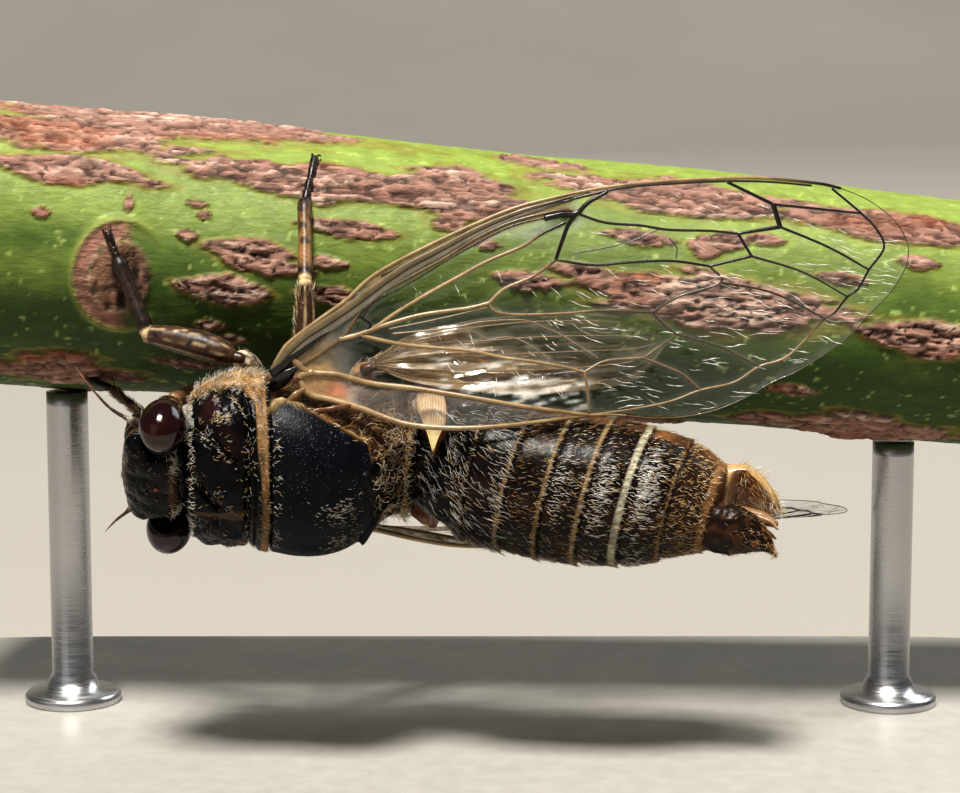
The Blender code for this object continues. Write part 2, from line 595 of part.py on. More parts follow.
leg("mid_left", at(5.7, -2.0, -2.95), seen(5.3, 0.35, -6.4), branch_spot(-6.2, -2.2, TOE + 0.05),
    branch_spot(-6.5, -2.5, TOE), (0.33, 0.26, 0.25), at(5.85, -1.05, -3.5))
leg("hind_left", at(7.9, -1.95, -2.95), seen(9.8, 0.6, -6.2), branch_spot(0.8, -2.1, TOE + 0.05),
    branch_spot(2.9, -2.2, TOE), (0.32, 0.26, 0.25), at(7.6, -1.05, -3.4))
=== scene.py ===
"""Looks of the life-size black cicada on its cut branch and stand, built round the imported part.

Lengths are in millimetres until a mesh is made. The body has its own axes: a runs from the front of
the head to the tail, u to the animal's right and d to its back. Round the body an angle counts from
the middle of the back, towards the animal's right.
"""
import math

import bpy
import numpy as np
from mathutils import Matrix, Vector


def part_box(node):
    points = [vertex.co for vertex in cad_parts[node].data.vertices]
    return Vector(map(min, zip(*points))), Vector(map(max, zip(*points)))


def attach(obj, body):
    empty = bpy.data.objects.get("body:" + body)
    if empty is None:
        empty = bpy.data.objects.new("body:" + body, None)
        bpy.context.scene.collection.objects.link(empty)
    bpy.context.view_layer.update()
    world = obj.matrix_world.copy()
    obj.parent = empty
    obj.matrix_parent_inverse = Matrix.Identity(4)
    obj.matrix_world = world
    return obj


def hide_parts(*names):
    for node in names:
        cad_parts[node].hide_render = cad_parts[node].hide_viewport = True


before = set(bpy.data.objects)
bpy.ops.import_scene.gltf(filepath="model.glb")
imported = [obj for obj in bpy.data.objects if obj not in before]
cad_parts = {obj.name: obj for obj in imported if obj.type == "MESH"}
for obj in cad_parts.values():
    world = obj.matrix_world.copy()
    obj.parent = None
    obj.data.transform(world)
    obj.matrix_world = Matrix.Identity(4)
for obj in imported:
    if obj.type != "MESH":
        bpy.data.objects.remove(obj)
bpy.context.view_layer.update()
rng = np.random.default_rng(11)
MM = 0.001
BODY_NAME = "root"

# How the animal hangs, as in the part.
LOOK_DOWN = math.radians(8.0)
BODY_SLOPE = math.radians(5.4)
BODY_ROLL = math.radians(45.0)
BODY_MIDDLE = np.array([-0.15, -5.0, 12.5])

RIGHT = np.array([1.0, 0.0, 0.0])
UP = np.array([0.0, math.sin(LOOK_DOWN), math.cos(LOOK_DOWN)])
TOWARD = np.array([0.0, -math.cos(LOOK_DOWN), math.sin(LOOK_DOWN)])
ALONG = RIGHT * math.cos(BODY_SLOPE) - UP * math.sin(BODY_SLOPE)
ABOVE = RIGHT * math.sin(BODY_SLOPE) + UP * math.cos(BODY_SLOPE)
SIDE = ABOVE * math.cos(BODY_ROLL) + TOWARD * math.sin(BODY_ROLL)
BACK = -ABOVE * math.sin(BODY_ROLL) + TOWARD * math.cos(BODY_ROLL)
HEAD_FRONT = BODY_MIDDLE - ALONG * 11.9
TO_BODY = np.stack([ALONG, SIDE, BACK]).T
SIDES = ((1, "right"), (-1, "left"))

BRANCH_MIDDLE = BODY_MIDDLE + np.array([0.15, 0.0, 0.0]) + UP * 7.1 - TOWARD * 7.0
BRANCH_SLOPE = math.radians(4.6)
BRANCH_DIR = RIGHT * math.cos(BRANCH_SLOPE) - UP * math.sin(BRANCH_SLOPE)
BRANCH_UP = RIGHT * math.sin(BRANCH_SLOPE) + UP * math.cos(BRANCH_SLOPE)
BRANCH_HALF = 20.5
BRANCH_R_LEFT = 5.13
BRANCH_R_RIGHT = 4.3

# Half width, height above and depth below the middle, and the middle's own rise, along the body.
BODY = np.array([
    (2.3, 2.50, 2.20, 1.90, 0.30), (3.0, 2.98, 2.45, 2.40, 0.12), (4.0, 3.20, 2.50, 2.85, 0.00),
    (5.0, 3.20, 2.65, 2.95, 0.00), (6.0, 3.10, 2.80, 2.95, 0.00), (7.2, 2.75, 2.65, 2.85, -0.05),
    (8.3, 2.50, 2.35, 2.40, -0.50), (9.2, 2.45, 1.78, 2.00, -0.95), (9.8, 2.58, 1.50, 1.90, -1.05),
    (10.4, 2.66, 1.75, 1.90, -1.00), (11.4, 2.64, 2.05, 2.10, -0.70), (12.8, 2.58, 2.33, 2.28, -0.45),
    (14.0, 2.60, 2.42, 2.40, -0.32), (15.3, 2.62, 2.47, 2.45, -0.20), (16.8, 2.52, 2.37, 2.45, -0.10),
    (18.0, 2.30, 2.15, 2.35, 0.00), (19.0, 1.92, 1.80, 2.05, 0.02), (19.9, 1.52, 1.50, 1.50, 0.10),
])


# Numbers

def arrays(*values):
    return np.broadcast_arrays(*(np.asarray(v, float) for v in values))


def smooth_table(table, x):
    """Each column of a short table at every x, through its rows with no kinks."""
    xs = table[:, 0]
    x = np.clip(x, xs[0], xs[-1])
    i = np.clip(np.searchsorted(xs, x) - 1, 0, len(xs) - 2)
    slope = np.gradient(table[:, 1:], xs, axis=0)
    h = (xs[i + 1] - xs[i])[..., None]
    t = (x - xs[i])[..., None] / h
    p, q = table[i, 1:], table[i + 1, 1:]
    value = ((2 * t**3 - 3 * t**2 + 1) * p + (t**3 - 2 * t**2 + t) * h * slope[i]
             + (3 * t**2 - 2 * t**3) * q + (t**3 - t**2) * h * slope[i + 1])
    return [value[..., k] for k in range(value.shape[-1])]


def bell(x, middle, width):
    return np.exp(-((x - middle) / width) ** 2)


def ramp(x, start, end):
    """0 before start, 1 after end, smooth between."""
    t = np.clip((x - start) / (end - start), 0, 1)
    return t * t * (3 - 2 * t)


def within(x, start, end, soft):
    return ramp(x, start - soft / 2, start + soft / 2) * ramp(-x, -end - soft / 2, -end + soft / 2)


def blob(x, middle_x, wide, y, middle_y, high, power=2):
    """1 at a flat place and falling to 0 round it."""
    return np.exp(-((x - middle_x) / wide) ** power - ((y - middle_y) / high) ** power)


def unit(v):
    return v / np.maximum(np.linalg.norm(v, axis=-1, keepdims=True), 1e-12)


def turns(count):
    """Angles spread evenly round a full turn."""
    return 2 * math.pi * np.arange(count) / count


def turned(x, y, angle):
    """The way at an angle from x towards y."""
    return x * np.cos(angle)[..., None] + y * np.sin(angle)[..., None]


def level(x, y):
    """Flat places as points with no height."""
    return np.stack([x, y, 0 * x], -1)


def mix(colour, other, share):
    """Rows of colour moved towards another colour by a share for each row."""
    return colour + (np.asarray(other, float) - colour) * share[..., None]


def glossed(tint, rough):
    """Colours with their roughness as a fourth number."""
    tint = np.asarray(tint, float)
    return np.concatenate([tint, np.broadcast_to(rough, tint.shape[:-1])[..., None]], -1)


def hashed(x, y, z, seed):
    """A fixed number from 0 to 1 for each whole-number place."""
    h = (x * 374761393 + y * 668265263 + z * 1440662683 + seed * 1274126177) & 0xFFFFFFFF
    h = ((h ^ (h >> 13)) * 1274126177) & 0xFFFFFFFF
    return ((h ^ (h >> 16)) & 0xFFFF) / 65535.0


def noise(p, seed=0, octaves=1):
    """Smooth noise from -1 to 1 at places p, with one bump for each unit of length."""
    total, most = 0.0, 0.0
    for k in range(octaves):
        q = np.asarray(p, float) * 2**k
        cell = np.floor(q).astype(np.int64)
        f = q - cell
        f = f * f * (3 - 2 * f)
        value = 0.0
        for corner in range(8):
            bits = [corner >> n & 1 for n in range(3)]
            w = np.prod([f[..., n] if bits[n] else 1 - f[..., n] for n in range(3)], axis=0)
            value = value + w * hashed(*(cell[..., n] + bits[n] for n in range(3)), seed + 31 * k)
        total = total + (2 * value - 1) * 0.5**k
        most += 0.5**k
    return total / most


def cracks(p, seed=0):
    """0 on the lines between scattered cells and about 1 in their middles, at places p."""
    cell = np.floor(p).astype(np.int64)
    first = np.full(p.shape[:-1], 9.0)
    second = first.copy()
    for n in range(27):
        at_cell = cell + np.array((n % 3 - 1, n // 3 % 3 - 1, n // 9 - 1))
        x, y, z = (at_cell[..., k] for k in range(3))
        spot = at_cell + np.stack([hashed(x, y, z, seed + k) for k in range(3)], -1)
        d = np.linalg.norm(spot - p, axis=-1)
        second = np.minimum(second, np.maximum(first, d))
        first = np.minimum(first, d)
    return np.clip((second - first) * 1.6, 0, 1)


def line_distance(x, y, line):
    """Distance from each flat place to a polyline."""
    best = np.full(x.shape, 1e9)
    for (x0, y0), (x1, y1) in zip(line, line[1:]):
        dx, dy = x1 - x0, y1 - y0
        size = math.hypot(dx, dy)
        t = np.clip(((x - x0) * dx + (y - y0) * dy) / size**2, 0, 1)
        best = np.minimum(best, np.hypot(x - x0 - t * dx, y - y0 - t * dy))
    return best


def spline(points, step):
    """Evenly spaced points on a smooth curve through the given ones, and each one's place from 0 to 1."""
    p = np.array(points, float)
    p = np.vstack([2 * p[0] - p[1], p, 2 * p[-1] - p[-2]])
    out, where = [], []
    for i in range(1, len(p) - 2):
        a, b, c, d = p[i - 1:i + 3]
        m = max(1, round(float(np.linalg.norm(c - b)) / step))
        t = (np.arange(m) / m)[:, None]
        out.append(0.5 * (2 * b + (c - a) * t + (2 * a - 5 * b + 4 * c - d) * t**2
                          + (3 * b - a - 3 * c + d) * t**3))
        where.append((i - 1 + t[:, 0]) / (len(p) - 3))
    return np.vstack(out + [p[-2:-1]]), np.append(np.concatenate(where), 1.0)


# Places

def at(a, u, d):
    """World points of places given along, to the right and to the back of the body."""
    a, u, d = (v[..., None] for v in arrays(a, u, d))
    return HEAD_FRONT + ALONG * a + SIDE * u + BACK * d


def body_path(rows, k=1):
    """World points of a path given in the body's axes, on the animal's right or mirrored to its left."""
    a, u, d = np.array(rows, float).T
    return at(a, u * k, d)


def seen(a, p, t):
    """World points given along the body, up across the view and out towards the viewer."""
    a, p, t = (v[..., None] for v in arrays(a, p, t))
    return HEAD_FRONT + ALONG * a + ABOVE * p + TOWARD * t


def lean(a):
    """How far a ring's back runs behind its belly, for each millimetre of height."""
    return 0.18 - 0.45 * np.clip((a - 7.5) / 4.5, 0, 1)


def body_point(a, phi, lift=0.0):
    """A point of the body's surface at an angle from the middle of the back."""
    a, phi, lift = arrays(a, phi, lift)
    w, above, below, rise = smooth_table(BODY, a)
    c, s = np.sin(phi), np.cos(phi)
    d = (np.where(s > 0, above, below) + lift) * s
    return at(a + lean(a) * d, (w + lift) * c, rise + d)


def branch_radius(x, turn):
    x, turn = arrays(x, turn)
    share = (x + BRANCH_HALF) / (2 * BRANCH_HALF)
    plain = BRANCH_R_LEFT + (BRANCH_R_RIGHT - BRANCH_R_LEFT) * share
    wave = 0.07 * np.sin(3 * turn + 0.35 * x) + 0.05 * np.sin(5 * turn - 0.22 * x + 1)
    scar = 0.16 * blob(x, -13.2, 1.6, np.minimum(abs(turn - 0.1), 6.3), 0, 0.55)
    return plain + wave + scar


def branch_spot(x, turn, out=0.0):
    """A place on the branch: turn 0 faces the viewer, a quarter turn is its top."""
    x, turn, out = arrays(x, turn, out)
    r = (branch_radius(x, turn) + out)[..., None]
    middle = BRANCH_MIDDLE + BRANCH_DIR * x[..., None]
    return middle + TOWARD * r * np.cos(turn)[..., None] + BRANCH_UP * r * np.sin(turn)[..., None]


# Meshes

def grid_faces(rows, cols, close=True):
    """Quads over a grid of points, joined round when close."""
    r, c = np.meshgrid(np.arange(rows - 1), np.arange(cols if close else cols - 1), indexing="ij")
    n = (c + 1) % cols
    return np.stack([r * cols + c, (r + 1) * cols + c, (r + 1) * cols + n, r * cols + n], -1).reshape(-1, 4)


class Form:
    """Points, faces and colours gathered for one piece. A colour's fourth number is roughness."""

    def __init__(self):
        self.points, self.tints, self.faces, self.count = [], [], [], 0

    def add(self, points, faces, tint, solid=True):
        points = np.asarray(points, float).reshape(-1, 3)
        tint = np.asarray(tint, float)
        tint = np.broadcast_to(tint, (len(points), 4)) if tint.ndim == 1 else tint.reshape(-1, 4)
        faces = [np.asarray(f, np.int64) for f in faces]
        if solid:
            volume = 0.0
            for f in faces:
                for k in range(1, f.shape[1] - 1):
                    p = points[f[:, (0, k, k + 1)]] - points[0]
                    volume += np.einsum("ij,ij->", p[:, 0], np.cross(p[:, 1], p[:, 2]))
            faces = [f[:, ::-1] for f in faces] if volume < 0 else faces
        self.faces += [f + self.count for f in faces]
        self.points.append(points)
        self.tints.append(tint)
        self.count += len(points)
        return self

    def closed(self, grid, tint):
        """A tube of rings, closed at each end by a fan to the ring's middle."""
        rows, cols = grid.shape[:2]
        ends = [grid[0].mean(axis=0), grid[-1].mean(axis=0)]
        tint = np.asarray(tint, float)
        if tint.ndim > 1:
            tint = np.vstack([tint.reshape(-1, 4), tint[0].mean(axis=0), tint[-1].mean(axis=0)])
        j = np.arange(cols)
        k = (j + 1) % cols
        low, high = rows * cols, rows * cols + 1
        last = (rows - 1) * cols
        fans = np.concatenate([np.stack([np.full(cols, low), j, k], -1),
                               np.stack([np.full(cols, high), last + k, last + j], -1)])
        return self.add(np.vstack([grid.reshape(-1, 3), ends]), [grid_faces(rows, cols), fans], tint)

    def sheet(self, upper, lower, tint):
        """A thin plate between two grids of one size, closed round its rim."""
        rows, cols = upper.shape[:2]
        n = rows * cols
        index = np.arange(n).reshape(rows, cols)
        rim = np.concatenate([index[0], index[1:, -1], index[-1, -2::-1], index[-2:0:-1, 0]])
        nxt = np.roll(rim, -1)
        sides = np.stack([rim, nxt, nxt + n, rim + n], -1)
        top = grid_faces(rows, cols, close=False)
        tint = np.asarray(tint, float)
        if tint.ndim > 1:
            tint = np.vstack([tint.reshape(-1, 4)] * 2)
        return self.add(np.vstack([upper.reshape(-1, 3), lower.reshape(-1, 3)]),
                        [top, top[:, ::-1] + n, sides], tint)

    def build(self, name, look, slot, replaced=(), uv=None):
        """Makes the finished piece, which rides on the body and stands for the nodes it replaces."""
        mesh = bpy.data.meshes.new(name)
        points = (np.vstack(self.points) * MM).astype(np.float32)
        sizes = np.concatenate([np.full(len(f), f.shape[1]) for f in self.faces])
        corners = np.concatenate([f.ravel() for f in self.faces]).astype(np.int32)
        mesh.vertices.add(len(points))
        mesh.vertices.foreach_set("co", points.ravel())
        mesh.loops.add(len(corners))
        mesh.loops.foreach_set("vertex_index", corners)
        mesh.polygons.add(len(sizes))
        mesh.polygons.foreach_set("loop_start", np.append(0, np.cumsum(sizes)[:-1]).astype(np.int32))
        colour = mesh.attributes.new("tint", "FLOAT_COLOR", "POINT")
        colour.data.foreach_set("color", np.vstack(self.tints).astype(np.float32).ravel())
        if uv is not None:
            layer = mesh.uv_layers.new(name="OFBake")
            layer.uv.foreach_set("vector", uv[corners].astype(np.float32).ravel())
        mesh.update(calc_edges=True)
        mesh.shade_smooth()
        obj = bpy.data.objects.new(name, mesh)
        bpy.context.scene.collection.objects.link(obj)
        mesh.materials.append(look)
        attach(obj, BODY_NAME)
        if replaced:
            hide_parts(*replaced)


def sweep(path, radii, sides, flat, wide, step, cap=0.7):
    """Rings of a limb along a smooth path, with rounded ends. Radii belong to the path's points.
    It gives the rings, each ring's place from 0 to 1 and each point's angle."""
    spots, place = spline(path, step)
    r = np.interp(place, np.linspace(0, 1, len(radii)), radii)
    way = unit(np.gradient(spots, axis=0))
    wide = np.asarray(TOWARD if wide is None else wide, float)
    x = unit(wide - way * (way @ wide)[:, None])
    y = np.cross(way, x)
    bow = np.radians((75, 50, 25))
    spots = np.vstack([spots[0] - way[0] * r[0] * cap * np.sin(bow)[:, None], spots,
                       spots[-1] + way[-1] * r[-1] * cap * np.sin(bow[::-1])[:, None]])
    r = np.concatenate([r[0] * np.cos(bow), r, r[-1] * np.cos(bow[::-1])])
    x = np.vstack([x[:1]] * 3 + [x] + [x[-1:]] * 3)
    y = np.vstack([y[:1]] * 3 + [y] + [y[-1:]] * 3)
    place = np.concatenate([[0] * 3, place, [1] * 3])
    w = turns(sides)
    rings = spots[:, None] + r[:, None, None] * turned(x[:, None], y[:, None] * flat, w)
    return rings, place[:, None] + 0 * w, w + 0 * place[:, None]


def outward(rings):
    """The way out from each ring's middle, for each of its points."""
    return unit(rings - rings.mean(axis=1, keepdims=True))


class Skin:
    """A finished closed surface that hairs can be rooted in by its row and column places."""

    def __init__(self, grid, rows=None):
        self.grid, self.rows = grid, np.arange(len(grid)) if rows is None else rows
        along = np.gradient(grid, axis=0)
        n = unit(np.cross(along, np.roll(grid, -1, axis=1) - np.roll(grid, 1, axis=1)))
        facing_in = np.einsum("ijk,ijk->", grid - grid.mean(axis=1, keepdims=True), n) < 0
        self.normal, self.along = -n if facing_in else n, unit(along)
        self.across = unit(np.cross(self.normal, self.along))

    def read(self, field, row, turn):
        """A field of the surface between its grid points."""
        count, cols = self.grid.shape[:2]
        i = np.clip(np.interp(row, self.rows, np.arange(count)), 0, count - 1.001)
        j = (turn / (2 * math.pi) % 1) * cols
        i0, j0 = i.astype(int), j.astype(int) % cols
        fi, fj = (i - i0)[:, None], (j - j.astype(int))[:, None]
        j1 = (j0 + 1) % cols
        return ((field[i0, j0] * (1 - fi) + field[i0 + 1, j0] * fi) * (1 - fj)
                + (field[i0, j1] * (1 - fi) + field[i0 + 1, j1] * fi) * fj)

    def roots(self, row, turn):
        """Points on the surface, their normals and the ways along and across it."""
        fields = (self.grid, self.normal, self.along, self.across)
        root, normal, along, across = (self.read(f, row, turn) for f in fields)
        return root, unit(normal), along, across


# Materials

class Look:
    """A procedural material, built up node by node round a Principled shader."""

    def __init__(self, name):
        self.material = bpy.data.materials.new(name)
        self.material.use_nodes = True
        self.tree = self.material.node_tree
        self.shader = self.tree.nodes["Principled BSDF"]
        self.place = self.node("ShaderNodeTexCoord").outputs["Object"]

    def tint(self):
        """The piece's own colour and its roughness."""
        outputs = self.node("ShaderNodeAttribute", attribute_name="tint").outputs
        return outputs["Color"], outputs["Alpha"]

    def feed(self, socket, value):
        if isinstance(value, bpy.types.NodeSocket):
            self.tree.links.new(value, socket)
        else:
            socket.default_value = value

    def node(self, kind, inputs=(), **settings):
        made = self.tree.nodes.new(kind)
        for key, value in settings.items():
            setattr(made, key, value)
        for key, value in dict(inputs).items():
            self.feed(made.inputs[key], value)
        return made

    def shine(self, **values):
        for key, value in values.items():
            self.feed(self.shader.inputs[key.replace("_", " ")], value)

    def noise(self, scale, detail=3.0, stretch=None, warp=0.0):
        """Noise with features of about 1000 / scale mm, drawn out along x, y or z by a stretch."""
        place = self.place
        if stretch:
            place = self.node("ShaderNodeMapping", {"Vector": place, "Scale": stretch}).outputs[0]
        return self.node("ShaderNodeTexNoise", {"Vector": place, "Scale": scale, "Detail": detail,
                                                "Distortion": warp}).outputs["Fac"]

    def spread(self, value, low, high, start=0.3, end=0.7):
        return self.node("ShaderNodeMapRange", {"Value": value, "From Min": start, "From Max": end,
                                                "To Min": low, "To Max": high}).outputs[0]

    def scaled(self, colour, factor):
        return self.node("ShaderNodeVectorMath", {0: colour, "Scale": factor}, operation="SCALE").outputs[0]

    def blend(self, share, colour, other):
        """From one colour to another by a share."""
        return self.node("ShaderNodeMix", {0: share, 6: (*colour, 1), 7: (*other, 1)},
                         data_type="RGBA").outputs[2]

    def math(self, kind, a, b, clamp=False):
        return self.node("ShaderNodeMath", {0: a, 1: b}, operation=kind, use_clamp=clamp).outputs[0]

    def sum(self, a, b):
        """Two values added and held between 0 and 1."""
        return self.math("ADD", a, b, clamp=True)

    def product(self, a, b):
        return self.math("MULTIPLY", a, b)

    def bump(self, height, depth, over=None):
        """Relief of a depth in mm, on top of an earlier one."""
        inputs = {"Height": height, "Distance": depth * MM}
        if over is not None:
            inputs["Normal"] = over
        return self.node("ShaderNodeBump", inputs).outputs[0]


def tinted(name, vary=0.3, grain=2500, pits=9000, depth=0.006, swell=0.0, **shine):
    """A surface coloured by its piece's tint, with cloudy variation, fine pits and uneven gloss."""
    look = Look(name)
    colour, rough = look.tint()
    cloud = look.noise(grain, 4.0)
    fine = look.noise(pits, 3.0)
    colour = look.scaled(colour, look.spread(cloud, 1 - vary, 1 + vary))
    colour = look.scaled(colour, look.spread(fine, 1 - vary / 2, 1 + vary / 2))
    rough = look.sum(rough, look.spread(fine, -0.075, 0.075))
    relief = look.bump(fine, depth)
    if swell:
        relief = look.bump(cloud, swell, over=relief)
    look.shine(Base_Color=colour, Roughness=rough, Normal=relief, **shine)
    return look.material


def film(name):
    """A clear membrane, bright where it mirrors a lamp or is seen edge on, and hazed by its tint."""
    look = Look(name)
    colour, haze = look.tint()
    relief = look.bump(look.noise(5200, 2.0, warp=0.6), 0.004)
    relief = look.bump(look.noise(1500, 2.0, warp=0.4), 0.02, over=relief)
    look.shine(Base_Color=colour, Roughness=0.27, Normal=relief)
    clear = look.node("ShaderNodeBsdfTransparent")
    mirror = look.node("ShaderNodeBsdfGlossy", {"Roughness": 0.07, "Color": (1, 1, 1, 1), "Normal": relief})
    facing = look.node("ShaderNodeLayerWeight", {"Blend": 0.5, "Normal": relief}).outputs["Facing"]
    edge = look.sum(look.product(look.math("POWER", facing, 5.0), 0.40), 0.022)
    glaze = look.node("ShaderNodeMixShader", {0: edge, 1: clear.outputs[0], 2: mirror.outputs[0]})
    milk = look.product(haze, look.spread(look.noise(2600, 3.0), 0.6, 1.4))
    body = look.node("ShaderNodeMixShader", {0: milk, 1: glaze.outputs[0], 2: look.shader.outputs[0]})
    look.tree.links.new(body.outputs[0], look.tree.nodes["Material Output"].inputs["Surface"])
    return look.material


def bark_look():
    """Rough fibrous cork where the tint says rough, and smooth green skin with faint specks elsewhere."""
    look = Look("bark")
    colour, rough = look.tint()
    cork = look.spread(rough, 0.04, 1.0, 0.48, 0.74)
    fibre = look.noise(5200, 5.0, (0.30, 1.0, 1.0), 0.4)
    grain = look.noise(11000, 3.0, (0.6, 1.0, 1.0))
    colour = look.scaled(colour, look.spread(look.noise(1700, 4.0), 0.86, 1.14))
    colour = look.scaled(colour, look.math("ADD", 1.0, look.product(cork, look.spread(fibre, -0.45, 0.35))))
    height = look.product(look.sum(fibre, look.product(grain, 0.4)), cork)
    rough = look.sum(rough, look.spread(grain, -0.08, 0.08))
    look.shine(Base_Color=colour, Roughness=rough, Normal=look.bump(height, 0.085), Specular_IOR_Level=0.28)
    return look.material


CUTICLE = tinted("black_cuticle", vary=0.35, depth=0.008, swell=0.02, Specular_IOR_Level=0.11)
VELVET = tinted("velvet_cuticle", vary=0.25, depth=0.012, pits=16000, Specular_IOR_Level=0.10)
HAIR = tinted("hair", vary=0.25, grain=1500, pits=12000, depth=0.001, Specular_IOR_Level=0.6)
WOOD = bark_look()
VEIN = tinted("vein", vary=0.2, grain=2500, pits=14000, depth=0.005, Specular_IOR_Level=0.5)
SHELL = tinted("pale_shell", vary=0.18, grain=3000, depth=0.006, Specular_IOR_Level=0.55)
LEG = tinted("leg_cuticle", vary=0.3, grain=4000, depth=0.008, Specular_IOR_Level=0.35)
MEMBRANE = film("wing_membrane")


# Branch

# Corky bark: each island's place along the branch and round it, half its length and half its width.
BARK = [
    (-12.0, 1.22, 7.6, 1.6), (-14.6, 0.52, 3.6, 0.55), (-15.9, 0.86, 5.6, 0.95), (-5.4, 0.61, 5.8, 0.78),
    (-1.0, 0.62, 2.7, 1.35), (-4.7, 0.26, 1.9, 0.38), (-7.9, 0.03, 1.5, 0.55), (-7.3, -0.06, 1.5, 0.35),
    (-5.3, 0.0, 0.9, 0.19), (-8.6, -0.25, 1.7, 0.5), (-9.9, 0.36, 0.35, 0.14), (-9.6, 0.27, 0.3, 0.2),
    (-10.1, 0.12, 0.35, 0.2), (-15.1, 0.18, 0.3, 0.2), (-12.2, 0.30, 0.16, 0.3), (-9.1, -0.51, 0.55, 0.2),
    (-4.9, -0.24, 1.2, 0.36), (6.6, 0.86, 5.0, 1.2), (13.9, 0.70, 4.2, 0.8), (18.5, 0.66, 3.0, 0.8),
    (5.4, 0.38, 1.38, 0.33), (7.7, 0.36, 0.7, 0.46), (8.5, 0.44, 0.63, 0.41), (9.7, 0.47, 0.7, 0.25),
    (0.1, 0.22, 0.55, 0.17), (3.4, 0.09, 1.35, 0.26), (1.6, -0.01, 1.35, 0.33), (8.3, -0.06, 5.3, 1.05),
    (15.6, -0.21, 3.2, 0.78), (19.6, -0.17, 3.2, 0.85), (-14.5, -1.12, 2.9, 1.1), (12.4, 0.21, 0.9, 0.26),
    (15.0, 0.39, 0.7, 0.31), (11.1, -0.73, 0.9, 0.28), (13.5, -1.22, 4.2, 1.2), (4.7, -1.5, 3.6, 1.2),
    (-8.5, -0.62, 0.8, 0.2), (-10.0, -0.9, 1.4, 0.25), (1.5, 1.15, 2.0, 0.5),
]
BARK_BEHIND = 26
SCAR_X, SCAR_TURN = -12.25, -0.21
BRANCH_ROWS, BRANCH_COLS = 400, 320
GREEN, LIGHT_GREEN = (0.030, 0.062, 0.008), (0.215, 0.285, 0.055)
CORK, CORK_PALE = (0.30, 0.165, 0.125), (0.58, 0.42, 0.34)
CORK_DARK, CORK_RED = (0.022, 0.009, 0.006), (0.24, 0.070, 0.026)


def bark_share(x, turn, p):
    """How far inside the corky islands a place is: above 0 inside, with ragged edges."""
    wobble = 0.46 * noise(p * (0.7, 2.6, 2.6), 3, 3)
    most = np.full(x.shape, -9.0)
    ranges = ((-20, 20), (1.9, 4.4), (1.0, 4.5), (0.25, 1.1))
    rest = [tuple(rng.uniform(*ends) for ends in ranges) for _ in range(BARK_BEHIND)]
    for place, middle, long, wide in BARK + rest:
        away = (turn - middle + math.pi) % (2 * math.pi) - math.pi
        slant = away * 4.7 + 0.05 * (x - place)
        spindle = (abs((x - place) / long) ** 1.3 + abs(slant / wide) ** 1.3) ** (1 / 1.3)
        most = np.maximum(most, 1.06 - spindle)
    return most + wobble


